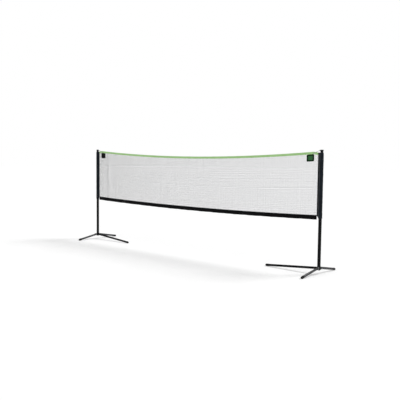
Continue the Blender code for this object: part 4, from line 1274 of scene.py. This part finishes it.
eyelet_corners = both_ends([
    (EYELET_BORE_R, EYELET_FACE + EYELET_RIM), (EYELET_FLANGE_R, EYELET_FACE + EYELET_RIM),
    (EYELET_FLANGE_R, EYELET_FACE), (EYELET_BARREL_R, EYELET_FACE),
])
rivet_profile = both_ends(dome(RIVET_HEAD_R, RIVET_HEAD, RIVET_GRIP).tolist() + [(RIVET_R, RIVET_GRIP)])
wire_turn = np.linspace(0, math.tau, 17)

for side, facing in SIDES.items():
    for kind in ("front", "back"):
        root, _, _ = leg_line(side, kind)
        rivet = turned(rivet_profile, root, (1, 0, 0), sides=32)
        stand_in(f"{side}_{kind}_leg_rivet", ZINC_STEEL, rivet)
    out = (facing * (HALF_SPACING + HUB_BODY_R + GAP), 0, POST_SCREW_HEIGHT)
    stand_in(f"{side}_post_screw", ZINC_STEEL, screw_grid(out, (facing, 0, 0)))
    root, way, _ = leg_line(side, "inner")
    over_leg = unit(np.cross(way, BACK))
    over_leg *= np.sign(over_leg[2])
    at = root + way * LEG_SCREW_ALONG + over_leg * (LEG_R + GAP)
    stand_in(f"{side}_leg_screw", ZINC_STEEL, screw_grid(at, over_leg))
    hole = (facing * EYELET_X, 0, EYELET_Z)
    eyelet = turned(softened(eyelet_corners, 0.0005), hole, (0, 1, 0), sides=40)
    stand_in(f"{side}_eyelet", ZINC_STEEL, eyelet)

    low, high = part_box(f"{side}_eye")
    ring_r = (high.z - low.z) / 2 - EYE_WIRE_R + EYE_EASE
    cap_side = max(abs(low.x), abs(high.x))
    middle_x = min(abs(low.x), abs(high.x)) + ring_r + EYE_WIRE_R
    ring = np.stack([ring_r + EYE_WIRE_R * np.cos(wire_turn), EYE_WIRE_R * np.sin(wire_turn)], axis=1)
    eye_z = (low.z + high.z) / 2
    shank_end = cap_side - middle_x - ring_r
    shank = [(0, 0), (EYE_SHANK_R, 0), (EYE_SHANK_R, shank_end), (0, shank_end)]
    stand_in(
        f"{side}_eye", ZINC_STEEL,
        turned(ring, (facing * middle_x, 0, eye_z), (0, 1, 0), sides=48),
        turned(shank, (facing * (middle_x + ring_r), 0, eye_z), (facing, 0, 0), sides=16),
    )

# %% [markdown]
# ## The solids that stay
#
# The collets, glide plugs, leg plugs and the head cord sit inside other parts and have the right
# shape already. They keep their solids, and only get the real finish.

# %% Finishes of the solids that stay
FINISH_OF_SLOT = {
    "black_nylon": BLACK_NYLON,
    "charcoal_nylon": CHARCOAL_NYLON,
    "grey_cord": HEAD_CORD_FINISH,
}
stayed = [node for node in BODY_OF if not bpy.data.objects[node].hide_render]
for node in stayed:
    mesh = bpy.data.objects[node].data
    mesh.materials.clear()
    mesh.materials.append(FINISH_OF_SLOT[SLOT_OF[node]])
print(f"{len(stayed)} solids stay: {', '.join(sorted(stayed))}")

# %% [markdown]
# ## Floor, light and camera
#
# The object stands on plain white paper that runs out to a white background. A wide soft light from
# behind on the right gives the side legs their bright flanks and puts gentle shadows just in front
# of the feet, one overhead fills in, and a low one at the front lights the net and hardly the floor.

# %% Floor and background
FLOOR_HALF = 60.0
FLOOR_DROP = 0.0003
BACKGROUND = 1.0
FILL = 0.30  # the room's own light
GLOW = 0.26  # the paper is lit from under, as on a light table, so that it stays white far out


def floor_sheet():
    """One flat square: the points (x, y, -drop), just under the feet."""
    side = np.array([-FLOOR_HALF, FLOOR_HALF])
    x, y = np.meshgrid(side, side)
    return np.stack([x, y, 0 * x - FLOOR_DROP], axis=-1)


paper, tree, shader = new_finish("white_paper", 0.95, specular=0.0)
mottle = spread(tree, cloudy(tree, 400 * MILLIMETRE), 0.3, 0.7)
tree.links.new(blend_colours(tree, mottle, "#f2f2f2", "#f5f5f5"), shader.inputs["Base Color"])
shader.inputs["Emission Color"].default_value = linear("#ffffff")
shader.inputs["Emission Strength"].default_value = GLOW
floor_mesh = grid_mesh("floor", floor_sheet(), fill=False)
floor_mesh.materials.append(paper)
floor = bpy.data.objects.new("floor", floor_mesh)
bpy.context.scene.collection.objects.link(floor)

world = bpy.data.worlds.new("studio")
bpy.context.scene.world = world
world.use_nodes = True
tree = world.node_tree
tree.nodes.clear()
seen = add_node(tree, "ShaderNodeBackground", {"Color": (1, 1, 1, 1), "Strength": BACKGROUND})
light = add_node(tree, "ShaderNodeBackground", {"Color": (1, 1, 1, 1), "Strength": FILL})
rays = add_node(tree, "ShaderNodeLightPath", {})
shares = {0: rays.outputs["Is Camera Ray"], 1: light.outputs[0], 2: seen.outputs[0]}
mixed = add_node(tree, "ShaderNodeMixShader", shares)
add_node(tree, "ShaderNodeOutputWorld", {"Surface": mixed.outputs[0]})

# %% [markdown]
# ### Lights
#
# Area lamps would leave the far floor grey, so each light is a sun lamp with the angular width of
# a soft box: its light is as strong everywhere, and its shadows still have soft edges. Together
# with the glow and the room's light they bring the paper to white.

# %% Lights


def broad_light(name, toward, spread_degrees, strength):
    """A sun lamp as wide as a soft box, which shines from a direction to the origin."""
    lamp = bpy.data.lights.new(name, "SUN")
    lamp.angle = math.radians(spread_degrees)
    lamp.energy = strength
    item = bpy.data.objects.new(name, lamp)
    item.rotation_euler = Vector(toward).to_track_quat("Z", "Y").to_euler()
    bpy.context.scene.collection.objects.link(item)


broad_light("key", (0.45, 0.70, 0.95), 20, 1.70)
broad_light("overhead", (0.05, 0.05, 1.0), 100, 0.30)
broad_light("front", (0.75, -0.65, 0.22), 60, 0.55)

# %% [markdown]
# ### Camera
#
# A person's view from the front on the right, at about chest height, far enough back to take in the
# whole net. Its place, its angles in radians and its lens were fitted once, to where the ends of
# the posts and the tips of the legs should fall.

# %% Camera
CAMERA_PLACE = Vector((5.890, -6.334, 1.448))
YAW, PITCH, ROLL = -0.7323, 0.0743, 0.0112
LENS_MM, SENSOR_MM = 52.4, 36.0
SEES_TO = 300.0

forward = Vector((math.sin(YAW) * math.cos(PITCH), math.cos(YAW) * math.cos(PITCH), -math.sin(PITCH)))
level = Vector((math.cos(YAW), -math.sin(YAW), 0))
upward = level.cross(forward)
rightward = math.cos(ROLL) * level + math.sin(ROLL) * upward
skyward = -math.sin(ROLL) * level + math.cos(ROLL) * upward
lens = bpy.data.cameras.new("camera")
lens.sensor_width = SENSOR_MM
lens.lens = LENS_MM
lens.clip_end = SEES_TO
camera = bpy.data.objects.new("camera", lens)
turn = Matrix((rightward, skyward, -forward)).transposed()
camera.matrix_world = Matrix.Translation(CAMERA_PLACE) @ turn.to_4x4()
bpy.context.scene.collection.objects.link(camera)
bpy.context.scene.camera = camera
bpy.context.scene.view_settings.view_transform = "Standard"
